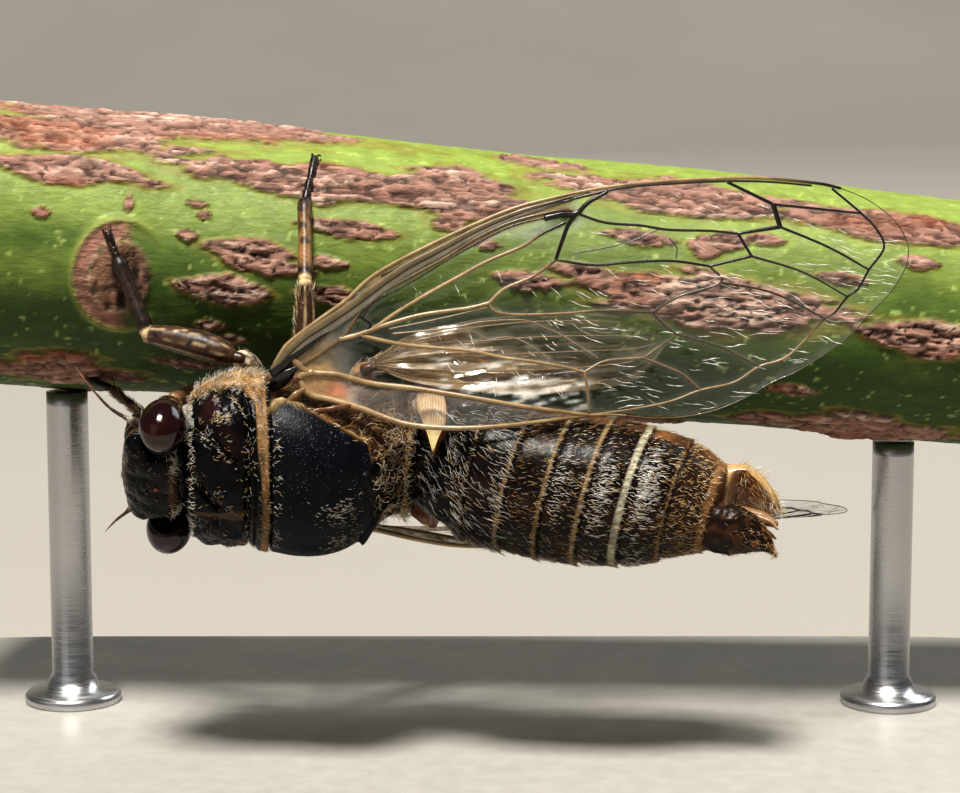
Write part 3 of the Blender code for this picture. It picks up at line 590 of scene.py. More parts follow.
def branch():
    """The bark surface, its leaf scar and its two cut ends."""
    x = np.linspace(-BRANCH_HALF, BRANCH_HALF, BRANCH_ROWS)
    turn = -math.pi + turns(BRANCH_COLS)
    x, turn = np.meshgrid(x, turn, indexing="ij")
    p = branch_spot(x, turn) @ np.stack([BRANCH_DIR, TOWARD, BRANCH_UP]).T
    inside = bark_share(x, turn, p)
    cork = ramp(inside, 0.0, 0.16)
    warp = np.stack([noise(p * (1.3, 1.0, 1.0), 8 + n, 2) for n in range(3)], -1) * (0.4, 0.10, 0.10)
    strand = noise((p + warp) * (0.40, 3.4, 3.4), 5, 3)
    flake = cracks((p + warp) * (0.58, 3.5, 3.5), 6)
    split = abs(noise((p + warp) * (0.38, 4.4, 4.4), 13, 2))
    crack = np.maximum(1 - ramp(flake, 0.03, 0.24), 0.95 - 0.95 * ramp(split, 0.0, 0.10))
    fleck = noise(p * (5, 8, 8), 9, 2)
    height = cork * (0.13 + 0.11 * strand + 0.05 * fleck - 0.15 * crack * ramp(inside, 0.06, 0.25))
    height += 0.035 * noise(p * (0.35, 1.0, 1.0), 4, 2) + 0.012 * noise(p * 4.0, 14) * (1 - cork)
    # The scar is a crescent face round a torn hollow, with a swollen lip.
    along, round_ = x - SCAR_X, (turn - SCAR_TURN) * 4.9
    ring = np.hypot(along / 1.62, round_ / 1.85)
    ray = np.arctan2(round_, -along)
    face = within(ring, 0.60 + 0.08 * np.sin(9 * ray), 1.0, 0.06) * ramp(-along, -0.5, 0.15)
    lip = bell(ring, 1.03, 0.07) * ramp(-along, -1.5, -0.3)
    core = ramp(-ring, -0.72, -0.55)
    bark_core = noise(p * (3.6, 1.3, 1.3), 21, 3)
    rays = noise(np.stack([ray * 14, ring * 4, ring], -1), 23, 2)
    height = height * (1 - ramp(-ring, -1.12, -1.0)) + 0.17 * lip + face * (0.07 + 0.03 * rays)
    hole = bell(np.hypot((along - 0.25) / 0.30, (round_ - 0.35) / 0.75), 0, 0.8)
    height += core * (0.06 + 0.24 * bark_core) - 0.30 * hole
    # Painted light and shade: the green is lighter over the branch's top and darker underneath, with cloudy
    # variation.
    lit = np.clip(0.42 + 0.4 * noise(p * (0.3, 0.8, 0.8), 2, 3) + 0.85 * np.sin(turn), 0, 1)
    tint = mix(GREEN, LIGHT_GREEN, lit)
    tint = mix(tint, (0.42, 0.52, 0.16), 0.5 * ramp(noise(p * 5.0, 15, 2), 0.42, 0.62))
    tint = mix(tint, (0.20, 0.16, 0.03), 0.6 * within(inside, -0.13, 0.02, 0.08))
    # Cracks go near black, partly the inner bark's own dark colour and partly painted shade; the paler raised
    # fibres are partly paler cork and partly a painted highlight.
    bark = mix(mix(CORK, CORK_PALE, ramp(strand + 0.5 * fleck, 0.0, 0.75)), CORK_DARK, 0.85 * crack)
    bark = mix(bark, CORK_RED, ramp(noise(p * (0.25, 0.7, 0.7), 33, 2), 0.15, 0.5) * 0.55)
    bark = mix(bark, CORK_RED, 0.7 * within(inside, 0.0, 0.10, 0.06))
    tint = mix(tint, bark, cork)
    tint = mix(tint, (0.27, 0.135, 0.10), face)
    tint = mix(tint, (0.22, 0.25, 0.06), lip * 0.8)
    tint = mix(tint, (0.50, 0.36, 0.25), face * bell(ring, 0.62, 0.06))
    # In the torn core the low places go near black: partly dark torn tissue, partly painted shade.
    tint = mix(tint, mix((0.20, 0.11, 0.07), (0.02, 0.012, 0.01), ramp(-bark_core, -0.1, 0.4)), core)
    gloss = 0.56 + 0.22 * cork + 0.3 * np.maximum(face, core)
    shape = Form()
    grid = branch_spot(x, turn, height - 0.02)
    shape.closed(grid, glossed(tint, np.clip(gloss, 0, 0.85)))
    # Each cut end is a sawn face with a bark rim, pale wood in rings and a dark pith.
    turn = turn[0]
    for side, rim in ((-1, grid[0]), (1, grid[-1])):
        middle = rim.mean(axis=0)
        share = np.array((1.0, 0.97, 0.9, 0.86, *np.linspace(0.8, 0.06, 30)))[:, None]
        disc = middle + (rim - middle) * share[..., None] * 0.995
        q = np.stack(arrays(share * np.cos(turn) * 6, share * np.sin(turn) * 6, side), -1)
        rings = np.sin(share * 44 + 1.2 * noise(q, 40, 2))
        bulge = 0.20 + 0.02 * rings + 0.02 * noise(q * 3, 41, 2) - 0.14 * (share > 0.99)
        disc = disc + BRANCH_DIR * side * bulge[..., None]
        wood = mix((0.62, 0.46, 0.25), (0.42, 0.27, 0.12), ramp(rings, -0.2, 0.9) * 0.7)
        wood = mix(wood, (0.16, 0.19, 0.04), within(share, 0.86, 1.1, 0.05))
        wood = mix(wood, (0.16, 0.09, 0.04), ramp(-share, -0.16, -0.1))
        shape.sheet(disc, disc - BRANCH_DIR * side * 0.35, glossed(wood, 0.7))
    shape.build("branch", WOOD, "bark", ("perch_branch",))


branch()


# Stand

BASE_X, BASE_Y, BASE_Z = 48.0, 28.0, 3.0
ROD_X, ROD_R = 15.0, 0.75


def stand():
    """The flat base with eased edges, and two rods with small collars."""
    sides, ease = 160, 0.55
    w = 2 * math.pi * (np.arange(sides) + 0.5) / sides
    c, s = np.cos(w), np.sin(w)
    outline = np.stack([np.sign(c) * abs(c) ** 0.22, np.sign(s) * abs(s) ** 0.22], -1)
    outline /= abs(outline).max(axis=0)
    levels = [(0.0, 0.25), (0.08, 0.05), (0.25, 0.0)]
    levels += [(BASE_Z - ease + ease * math.sin(b), ease * (1 - math.cos(b)))
               for b in np.linspace(0, math.pi / 2, 9)]
    levels += [(BASE_Z, inset) for inset in (0.8, 1.2, 2.5, 5.0, 8.0, 11.0)]
    grid = np.stack([glossed(outline * (BASE_X / 2 - inset, BASE_Y / 2 - inset), z) for z, inset in levels])
    Form().closed(grid, (0.80, 0.78, 0.73, 0.45)).build("stand_plate", PLATE, "stand_plate", ("stand_base",))
    for k, side in ((-1, "left"), (1, "right")):
        foot = np.array((ROD_X * k, (BRANCH_MIDDLE + BRANCH_DIR * ROD_X * k)[1], BASE_Z))
        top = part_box(f"stand_rod_{side}")[1].z / MM - BASE_Z + 0.15
        profile = [(0.0, 1.75), (0.28, 1.75), (0.42, 1.62), (0.46, 1.0), (0.9, 0.86)]
        profile += [(z, ROD_R) for z in (1.1, top / 2, top - 0.5, top)]
        v = turns(48)
        rings = np.stack([foot + np.stack([r * np.cos(v), r * np.sin(v), z + 0 * v], -1)
                          for z, r in profile])
        Form().closed(rings, (0.55, 0.55, 0.56, 0.3)).build(
            f"stand_post_{side}", STEEL, "stand_metal", (f"stand_rod_{side}",))


plate = Look("stand_lacquer")
plate_cloud = plate.spread(plate.noise(1400, 5.0), 0, 1)
plate.shine(Base_Color=plate.blend(plate_cloud, (0.345, 0.33, 0.30), (0.39, 0.373, 0.343)),
            Roughness=plate.spread(plate.noise(300, 3.0), 0.38, 0.52),
            Normal=plate.bump(plate.noise(9000, 2.0), 0.004))
PLATE = plate.material
steel = Look("stand_steel")
brush = steel.noise(900, 4.0, (1.0, 1.0, 30.0))
steel.shine(Base_Color=steel.blend(brush, (0.40, 0.40, 0.41), (0.62, 0.62, 0.63)), Metallic=1.0,
            Roughness=steel.spread(brush, 0.22, 0.42), Normal=steel.bump(brush, 0.002))
STEEL = steel.material
stand()


# Thorax and abdomen

ARC = 0.05
BLACK, BLUE_BLACK = (0.0030, 0.0030, 0.0036), (0.0036, 0.0042, 0.0062)
DARK_BROWN, TAN = (0.035, 0.016, 0.008), (0.36, 0.19, 0.075)
PALE_TAN, ORANGE = (0.56, 0.38, 0.19), (0.33, 0.12, 0.03)
COLS = 300


def traced(a, s, line):
    """Distance in mm over the skin to a line given along the body and in degrees from the back's middle."""
    return line_distance(a, s * ARC, [(x, y * ARC) for x, y in line])


def skin_grid(stations):
    """Stations along the body by angles round it, with each place's degrees from the back's middle
    and a point for noise."""
    a, phi = np.meshgrid(stations, -math.pi + turns(COLS), indexing="ij")
    return a, phi, abs(np.degrees(phi)), np.stack([a, 3 * np.sin(phi), 3 * np.cos(phi)], -1)


OUTER_FISSURE = [(2.3, 74), (2.66, 65), (3.1, 52.5), (3.5, 43), (3.72, 38)]
INNER_FISSURE = [(2.3, 35), (2.6, 22), (2.9, 12), (3.12, 6.5)]
COLLAR_FURROW = [(3.35, 97), (3.85, 88), (4.15, 70), (4.25, 52), (4.12, 30), (4.1, 0)]
COLLAR_RIDGE = [(3.75, 99), (4.18, 86), (4.35, 62), (4.40, 40), (4.36, 0)]
SHIELD_EDGE = ([4.88, 5.3, 5.9, 7.2, 8.14, 8.3], [90, 90, 87.5, 78.5, 63.5, 45])
FORE_ARM = [(8.10, 37), (8.42, 24), (8.75, 9), (8.92, 0)]
HIND_ARM = [(8.92, 0), (9.25, 8), (9.50, 13), (9.68, 19)]
PIT = (8.98, 30.0)
CORNER = [(4.98, 80), (5.12, 86), (5.42, 90.5), (5.75, 90), (5.98, 86.5)]


def thorax():
    """One skin from the neck to the waist: pronotum, collar, shield with its cross, and underside."""
    a, phi, s, p = skin_grid(np.concatenate([
        np.linspace(1.9, 2.24, 8), np.linspace(2.26, 4.3, 76), np.linspace(4.3, 5.0, 36)[1:],
        np.linspace(5.0, 8.0, 60)[1:], np.linspace(8.0, 9.84, 60)[1:]]))
    front = ramp(-a, -4.9, -4.84) * ramp(-s, -122, -114)
    outer = traced(a, s, OUTER_FISSURE)
    inner = traced(a, s, INNER_FISSURE)
    furrow = traced(a, s, COLLAR_FURROW)
    ridge = traced(a, s, COLLAR_RIDGE)
    lift = (-0.05 + 0.012 * noise(p * 2.5, 50, 2)
            + front * (0.032 * noise(p * (4.0, 3.0, 3.0), 48, 2) + 0.014 * noise(p * 9, 49)))
    lift -= 0.55 * ramp(-a, -2.5, -2.24) ** 2 + 0.4 * ramp(-a, -2.27, -2.1)
    lift += front * (-0.27 * bell(outer, 0, 0.125) - 0.24 * bell(inner, 0, 0.115)
                     - 0.18 * bell(furrow, 0, 0.10) - 0.07 * bell(ridge, 0, 0.045))
    lift += front * (0.16 * bell(a, 3.02, 0.42) * bell(s, 84, 12)
                     + 0.17 * bell(a, 2.80, 0.33) * bell(s, 45, 11)
                     + 0.14 * bell(a, 3.55, 0.38) * bell(s, 64, 13)
                     + 0.10 * bell(a, 3.4, 0.5) * bell(s, 22, 11)
                     - 0.06 * bell(a, 3.95, 0.18) * bell(s, 40, 12))
    pits = front * ramp(-a, -4.4, -4.3) * ramp(noise(p * 4.5, 51), 0.25, 0.6)
    lift -= 0.03 * pits
    collar_start = 4.60 - 0.14 * ramp(s, 15, 60) - 0.42 * ramp(s, 80, 100)
    collar = ramp(a - collar_start, -0.025, 0.025) * ramp(-a, -4.865, -4.815) * ramp(-s, -124, -112)
    lift += 0.055 * collar - 0.13 * bell(a, 4.885, 0.04) * ramp(-s, -100, -90)
    margin = ramp(-a, -4.86, -4.8) * within(s, 99 + 7 * ramp(-a, -3.2, -2.4), 123, 6)
    lift += 0.09 * margin
    # The shield is a smooth dome with a sharp side edge, over a hollow flank.
    edge = np.interp(a, *SHIELD_EDGE)
    shield = ramp(a, 4.88, 5.02) * ramp(-a, -8.34, -8.2) * ramp(edge - s, -1.5, 1.5)
    lift += shield * 0.07 * bell(a, 6.5, 1.5)
    flank = ramp(a, 4.95, 5.2) * ramp(-a, -9.6, -8.9) * ramp(s - edge, 0, 4) * ramp(-s, -128, -112)
    lift += flank * (-0.30 + 0.12 * noise(p * (1.4, 1.1, 1.1), 53, 2))
    corner = traced(a, s, CORNER)
    lift += 0.11 * bell(corner, 0, 0.10) + 0.05 * bell(s, edge - 1.0, 1.6) * within(a, 5.9, 8.2, 0.3)
    fore = traced(a, s, FORE_ARM)
    hind = traced(a, s, HIND_ARM)
    pit = blob(a, PIT[0], 0.42, s, PIT[1], 12)
    lift += (0.25 * bell(fore, 0, 0.13) + 0.20 * bell(hind, 0, 0.11) - 0.36 * pit
             - 0.07 * bell(a, 8.45, 0.2) * bell(s, 0, 9))
    lift += 0.10 * bell(a, 9.62, 0.08) * within(s, 12, 75, 8) - 0.45 * ramp(a, 9.66, 9.86) ** 2
    # Underneath, plates meet at sutures round the leg sockets.
    below = ramp(s, 126, 134)
    plates = cracks(p * (0.62, 0.5, 0.5) + 3.1, 54)
    lift += below * (0.06 * plates - 0.10 * (1 - ramp(plates, 0.03, 0.22)) + 0.03 * noise(p * 1.6, 55, 2))
    grid = body_point(a, phi, lift)

    red = 0.9 * bell(a, 2.98, 0.30) * bell(s, 78, 11) + 0.45 * bell(a, 3.6, 0.35) * bell(s, 52, 12)
    tint = mix(BLACK, (0.026, 0.010, 0.009), front * np.clip(red, 0, 1))
    creased = np.maximum(bell(outer, 0, 0.05), bell(inner, 0, 0.045))
    tint = mix(tint, (0.030, 0.018, 0.009), 0.6 * front * creased)
    fascia = ramp(2.0 + 2.6 * bell(a, 3.65, 0.4) + 0.8 * bell(a, 2.5, 0.25) - s, 0, 1.4)
    fascia = fascia * within(a, 2.4, 4.05, 0.1)
    tint = mix(tint, (0.060, 0.038, 0.017), fascia)
    ridged = ramp(noise(level(a * 9, s * 0.05), 56, 2), -0.1, 0.5)
    tan = mix((0.205, 0.128, 0.060), ORANGE, 0.18 + 0.3 * noise(p * 1.5, 57, 2))
    tan = mix(tan, DARK_BROWN, 0.55 * ridged)
    tan = mix(tan, DARK_BROWN, 0.6 * ramp(-s, -34, -12))
    tint = mix(tint, tan, np.maximum(collar, 0.9 * margin))
    tint = mix(tint, PALE_TAN, 0.45 * margin * ramp(noise(p * 3, 58, 2), -0.1, 0.4))
    tint = mix(tint, BLUE_BLACK, shield)
    side = ramp(s - edge, 0, 3) * ramp(a, 4.95, 5.1) * ramp(-s, -132, -126)
    patch = ramp(noise(p * (1.1, 0.9, 0.9), 59, 2), 0.05, 0.3)
    tint = mix(tint, DARK_BROWN, side)
    tint = mix(tint, ORANGE, 0.12 * side * patch)
    knobs = 0.55 + 0.45 * ramp(noise(p * 4, 68, 2), -0.25, 0.25)
    tint = mix(tint, (0.47, 0.33, 0.16), knobs * bell(corner, 0, 0.12))
    tint = mix(tint, TAN, 0.6 * bell(s, edge, 1.8) * within(a, 5.9, 8.25, 0.3))
    tint = mix(tint, (0.022, 0.010, 0.006), np.clip(1.2 * pit, 0, 1))
    tint = mix(tint, (0.20, 0.11, 0.055), 0.8 * bell(a, 9.42, 0.09) * bell(s, 0, 5))
    tint = mix(tint, TAN, 0.55 * bell(a, 9.62, 0.07) * within(s, 10, 75, 8))
    tint = mix(tint, mix((0.21, 0.115, 0.05), DARK_BROWN, 1 - ramp(plates, 0.05, 0.4)), below)
    rough = 0.20 + 0.15 * shield + 0.2 * np.maximum(collar, margin) + 0.2 * below + 0.15 * side
    rough = rough - 0.12 * bell(fore, 0, 0.15)
    Form().closed(grid, glossed(tint, rough)).build(
        "thorax_skin", VELVET, "black_cuticle",
        ("pronotum", "pronotal_collar", "mesonotum", "cruciform_ridge", "thorax_underside"))
    return Skin(grid, a[:, 0])


# Where each ring of the abdomen ends, how wide its pale hind edge is and the edge's colour.
RINGS = [
    (9.75, 0, BLACK), (12.05, 0.07, (0.04, 0.025, 0.014)), (13.35, 0.12, (0.15, 0.095, 0.045)),
    (14.65, 0.12, (0.18, 0.120, 0.060)), (15.95, 0.13, (0.21, 0.145, 0.075)),
    (17.28, 0.23, (0.36, 0.34, 0.25)), (18.60, 0.08, (0.12, 0.065, 0.028)),
    (19.90, 0.22, (0.17, 0.085, 0.036)),
]
RING_SHARES = np.array(
    (0.0, 0.03, 0.07, 0.13, 0.2, 0.3, 0.4, 0.5, 0.6, 0.7, 0.8, 0.86, 0.9, 0.93, 0.96, 0.985))
TIMBAL_A, TIMBAL_TURN, TIMBAL_WIDE, TIMBAL_HIGH, TIMBAL_SLANT = 10.27, 0.17, 0.50, 0.68, 0.45


def timbal_room(a, phi):
    """The first ring is hollowed at each side, where a timbal lies."""
    turn = math.pi / 2 - abs(phi)
    side = (turn - TIMBAL_TURN) / 0.86
    along = (a - TIMBAL_A - TIMBAL_SLANT * (turn - TIMBAL_TURN)) / 1.05
    return -0.66 * np.exp(-side**4 - np.maximum(along, 0) ** 4)


def abdomen():
    """One skin of overlapping rings, each with a pale hind edge."""
    stations = [9.70]
    for (a0, *_), (a1, *_) in zip(RINGS, RINGS[1:]):
        stations += list(a0 + (a1 - a0) * RING_SHARES)
    stations += [19.9, 19.98, 20.03]
    a, phi, s, p = skin_grid(np.array(stations))
    edges = np.array([r[0] for r in RINGS])
    ring = np.clip(np.searchsorted(edges, a, side="right") - 1, 0, len(RINGS) - 2)
    share = (a - edges[ring]) / (edges[ring + 1] - edges[ring])
    to_edge = edges[ring + 1] - a
    lift = (-0.12 + 0.06 * ramp(share, 0.0, 0.35) + 0.03 * ramp(share, 0.5, 1.0)
            + 0.015 * ramp(share, 0.88, 0.99))
    lift -= 0.05 * bell(share, 0.0, 0.05) - 0.012 * noise(p * (2.2, 1.2, 1.2), 60, 2)
    lift += timbal_room(a, phi) - 0.20 * ramp(-a, -9.9, -9.7) - 0.5 * ramp(a, 19.92, 20.03) ** 2
    lift += 0.05 * bell(a, 10.95, 0.22) * ramp(-s, -50, -20)
    under = ramp(s, 112, 124)
    lift -= 0.14 * bell(s, 116, 4.0) - 0.03 * under
    grid = body_point(a, phi, lift)
    tint = mix((0.0070, 0.0045, 0.0035), BLACK, ramp(-a, -12.6, -11.5) * 0.8)
    tint = mix(tint, (0.026, 0.014, 0.008), ramp(a, 18.4, 19.2))
    tint = mix(tint, (0.045, 0.021, 0.010), 0.4 * ramp(noise(p * (1.2, 0.8, 0.8), 61, 2), 0.1, 0.5))
    tint = mix(tint, ORANGE, 0.75 * bell(a, 17.7, 0.5) * bell(s, 124, 10))
    tint = mix(tint, (0.13, 0.065, 0.028), 0.8 * under)
    tint = mix(tint, DARK_BROWN, under * 0.8 * ramp(noise(p * (0.9, 0.6, 0.6), 62, 2), -0.05, 0.3))
    rough = np.full(a.shape, 0.30)
    fine = ramp(noise(level(a * 3, s * 0.45), 63, 2), -0.2, 0.4)
    for number, (_, wide, colour) in enumerate(RINGS[1:]):
        band = (ring == number) * ramp(-to_edge, -wide - 0.02, -wide + 0.02) * (1 - 0.4 * under)
        tint = mix(tint, colour, band * (1 - 0.45 * fine))
        rough = rough + 0.15 * band
    tint = mix(tint, BLACK, 0.8 * bell(share, 0, 0.03) * (a > 12))
    Form().closed(grid, glossed(tint, rough)).build(
        "abdomen_skin", CUTICLE, "black_cuticle", [f"abdomen_{n}" for n in range(2, 9)])
    return Skin(grid, a[:, 0])


THORAX_SKIN = thorax()
ABDOMEN_SKIN = abdomen()


# Timbals, opercula and tail

def timbal_piece(k, side):
    """A ribbed fan that narrows to a pale point, in an orange-brown frame."""
    r, w = np.meshgrid(np.linspace(0.02, 1.16, 34), turns(96), indexing="ij")
    turn = TIMBAL_TURN + TIMBAL_HIGH * r * np.sin(w)
    narrow = 1 - 0.62 * ramp(turn, 0.25, 0.86)
    out = TIMBAL_WIDE * narrow * r * np.cos(w)
    a = TIMBAL_A + TIMBAL_SLANT * (turn - TIMBAL_TURN) + out
    across = out / (TIMBAL_WIDE * narrow)
    frame_share = ramp(r, 0.93, 1.0)
    rib = np.cos(across * 5.0 * 2 * math.pi) * ramp(-turn, -0.62, -0.35) * (1 - frame_share)
    lift = 0.15 * (1 - r**2) + 0.030 * rib - 0.02 + 0.05 * frame_share - 0.42 * ramp(r, 1.02, 1.16)
    upper = body_point(a, k * (math.pi / 2 - turn), lift)
    lower = body_point(a, k * (math.pi / 2 - turn), lift - 0.10)
    pale = ramp(turn, 0.35, 0.75)
    tint = mix((0.50, 0.36, 0.21), (0.80, 0.68, 0.34), pale)
    tint = mix(tint, (0.30, 0.19, 0.10), ramp(-rib, 0.2, 0.9) * 0.7)
    tint = mix(tint, (0.18, 0.06, 0.018), frame_share * ramp(turn, -0.6, 0.1))
    tint = glossed(tint, 0.34)
    shell, tint = np.concatenate([lower[::-1], upper])[::-1], np.concatenate([tint[::-1], tint])[::-1]
    Form().closed(shell, tint).build(f"timbal_shell_{side}", SHELL, "timbal", (f"timbal_{side}",))


def operculum(k, side):
    """The pale flap under each side of the waist."""
    path = [(9.35 + 0.5 * s, 1.0 + 0.04 * s, -3.42 + 0.05 * s) for s in np.linspace(0, 3.6, 5)]
    rings, place, _ = sweep(body_path(path, k), (0.42, 0.62, 0.7, 0.64, 0.4), 40, 0.3, SIDE, 0.08)
    tint = mix((0.46, 0.33, 0.17), DARK_BROWN, ramp(-place, -0.25, -0.05) * 0.8)
    Form().closed(rings, glossed(tint, 0.42)).build(
        f"operculum_flap_{side}", SHELL, "pale_plate", (f"operculum_{side}",))


def tail():
    """The dark upper piece with its beak, the pale boat under it and the parts between."""
    path = [(19.82, 0, 0.86), (20.12, 0, 0.94), (20.6, 0, 0.98), (21.15, 0, 1.12), (21.6, 0, 1.42),
            (21.95, 0, 1.88)]
    rings, place, _ = sweep(body_path(path), (1.02, 1.0, 1.02, 0.80, 0.44, 0.07), 72, 0.80, SIDE, 0.05, 0.3)
    p = rings @ TO_BODY
    lumps = 0.03 * noise(p * 2.2, 70, 3) + 0.03 * noise(p * 6.0, 69, 2) - 0.06
    rings = rings + outward(rings) * lumps[..., None]
    blotch = ramp(noise(p * 3.6, 71, 3), 0.0, 0.3) * (0.15 + 0.7 * ramp(place, 0.35, 0.9))
    tint = mix((0.014, 0.008, 0.006), (0.22, 0.085, 0.026), blotch)
    Form().closed(rings, glossed(tint, 0.3)).build("tail_dark", CUTICLE, "tail", ("pygofer",))
    path = [(20.2, 0, -0.92), (20.5, 0, -0.86), (20.85, 0, -0.82), (21.35, 0, -0.62), (21.8, 0, -0.35),
            (22.12, 0, -0.10)]
    boat, place, _ = sweep(body_path(path), (0.98, 1.05, 1.12, 0.88, 0.52, 0.12), 72, 0.62, SIDE, 0.05, 0.3)
    # The boat is open above: its upper half is pressed in to leave a hollow.
    height = np.einsum("ijk,k->ij", boat - boat.mean(axis=1, keepdims=True), BACK)
    hollow = ramp(height, 0.0, 0.25) * ramp(place, 0.1, 0.3)
    boat = boat - BACK * (0.75 * np.maximum(height, 0) * hollow)[..., None]
    # Darker brown inside the hollow: partly the boat's brown inner face, partly painted shade.
    blotch = 0.7 * noise(boat @ TO_BODY * 2.4, 72, 3) + 0.55 * hollow
    tint = mix((0.46, 0.29, 0.125), (0.24, 0.095, 0.030), ramp(blotch, 0.1, 0.6))
    tint = mix(tint, (0.16, 0.06, 0.02), 0.7 * bell(place, 0.97, 0.05))
    pale = Form().closed(boat, glossed(tint, 0.33))
    # Between the two stand a pale tube and its small lobes.
    for path, r, colour in (
            ([(20.9, 0.0, 0.25), (21.5, 0.05, 0.38), (21.95, 0.1, 0.62)], (0.33, 0.27, 0.14),
             (0.22, 0.12, 0.055)),
            ([(21.2, 0.24, 0.5), (21.75, 0.28, 0.72), (22.0, 0.25, 0.98)], (0.13, 0.10, 0.04),
             (0.26, 0.15, 0.075)),
            ([(21.2, -0.24, 0.5), (21.75, -0.26, 0.72), (22.0, -0.22, 0.98)], (0.13, 0.10, 0.04),
             (0.23, 0.13, 0.06))):
        tube, _, _ = sweep(body_path(path), r, 24, 0.8, SIDE, 0.05)
        pale.closed(tube, (*colour, 0.35))
    pale.build("tail_pale", SHELL, "tail", ("genital_plate",))
    return rings, boat


for k, side in SIDES:
    timbal_piece(k, side)
    operculum(k, side)
TAIL_RINGS, BOAT_RINGS = tail()


# Head

# At heights from the head's underside to its top: its front, its rear and its half width.
HEAD = np.array([
    (-2.0, 1.35, 1.90, 0.80), (-1.5, 1.12, 2.05, 1.30), (-0.5, 1.00, 2.15, 1.62),
    (0.35, 0.92, 2.15, 1.66), (0.62, 0.34, 2.15, 1.66), (0.90, 0.12, 2.13, 1.64),
    (1.20, 0.12, 2.10, 1.58), (1.50, 0.34, 2.02, 1.42), (1.72, 0.72, 1.84, 1.12),
    (1.80, 1.02, 1.66, 0.66), (1.83, 1.30, 1.45, 0.10),
])
# Each feeler's path, along the body, up across the view and out to the viewer, and its radii.
FEELERS = (
    ("right", ((0.62, 0.98, 1.02), (0.40, 1.06, 1.07), (0.16, 1.14, 1.08), (-0.38, 1.42, 1.12),
               (-0.96, 1.94, 1.15), (-1.36, 2.36, 1.2), (-1.61, 2.64, 1.2)),
     (0.16, 0.15, 0.075, 0.05, 0.04, 0.026, 0.008)),
    ("left", ((0.62, -1.72, -1.1), (0.45, -1.86, -1.1), (0.20, -2.12, -1.1), (-0.08, -2.38, -1.1),
              (-0.28, -2.62, -1.1), (-0.43, -2.83, -1.1)), (0.15, 0.14, 0.06, 0.042, 0.028, 0.008)),
)
HEAD_TURN = 0.03
EYE = (1.66, 2.45, 1.02)
EYE_SIZE = (0.77, 0.75, 1.01)
EYE_INNER = 1.93


def head_at(a, u, d):
    a, u, d = arrays(a, u, d)
    return at(a - HEAD_TURN * u, u, d)


def head():
    """The skull with its brow, grooves and eye bays, and its three red simple eyes."""
    rows = np.concatenate([np.linspace(-2.0, 0.3, 34), np.linspace(0.3, 1.3, 44)[1:],
                           np.linspace(1.3, 1.83, 40)[1:]])
    d, w = np.meshgrid(rows, turns(220), indexing="ij")
    front, rear, half = smooth_table(HEAD, d)
    middle, reach = (front + rear) / 2, (rear - front) / 2
    c, s = np.cos(w), np.sin(w)
    a = middle - reach * np.sign(c) * abs(c) ** 0.6 + 0.10 * d
    u = half * np.sign(s) * abs(s) ** 0.75
    p = np.stack([a, u, d], -1)
    top = ramp(d, 1.2, 1.5)
    # On top: a middle furrow, a line behind the brow and swellings by the eyes.
    press = (0.045 * bell(u, 0, 0.10) * top * ramp(a, 0.7, 1.0)
             + 0.03 * bell(a, 0.70 + 0.12 * u**2, 0.09) * ramp(d, 0.8, 1.3) * (abs(u) < 1.45))
    press += 0.03 * bell(abs(u), 0.62 + 0.25 * (a - 1.0), 0.12) * top
    press -= (0.06 * bell(abs(u), 1.15, 0.28) * bell(a, 1.35, 0.35) * top
              - 0.055 * noise(p * 1.9, 80, 3) - 0.020 * noise(p * 7, 81, 2))
    press -= 0.40 * bell(abs(u), 1.66, 0.40) * bell(d, 1.02, 0.44) * ramp(-a, -1.35, -0.85)
    press += 0.05 * bell(d, 0.50, 0.07) * ramp(-a, -1.2, -0.6)
    n = unit(np.stack([a - 1.2, u * 0.9, (d - 0.2) * (1 + 1.2 * top)], -1))
    a, u, d = (p - n * press[..., None]).transpose(2, 0, 1)
    grid = head_at(a, u, d)
    brow = bell(a, 0.26 + 0.10 * abs(u), 0.13) * within(abs(u), -0.1, 1.2, 0.3) * ramp(d, 0.7, 1.1)
    tint = mix(BLACK, (0.075, 0.055, 0.025), 0.55 * brow)
    tint = mix(tint, (0.14, 0.065, 0.025), 0.6 * bell(a, 1.98, 0.1) * top)
    tint = mix(tint, (0.10, 0.055, 0.025), ramp(-d, 0.3, 0.9) * 0.7 * ramp(a, 1.3, 1.7))
    Form().closed(grid, glossed(tint, 0.15)).build("head_skin", CUTICLE, "black_cuticle", ("head",))
    dots, above = Form(), 1.82
    lat, lon = np.meshgrid(np.linspace(0.12, 3.0, 14), turns(24), indexing="ij")
    # The right lateral simple eye is painted brighter red as if lit, the middle and left ones darker as
    # painted shade.
    for a, u, size, red in (
            (1.14, 0.02, 0.062, 0.05), (1.46, 0.25, 0.078, 0.30), (1.46, -0.25, 0.062, 0.05)):
        ball = head_at(a + size * np.sin(lat) * np.cos(lon), u + size * np.sin(lat) * np.sin(lon),
                       above + size * 0.9 * np.cos(lat))
        dots.closed(ball, (red, 0.12 * red, 0.08 * red, 0.12))
    dots.build("simple_eyes", EYE_LOOK, "eye")
    return grid


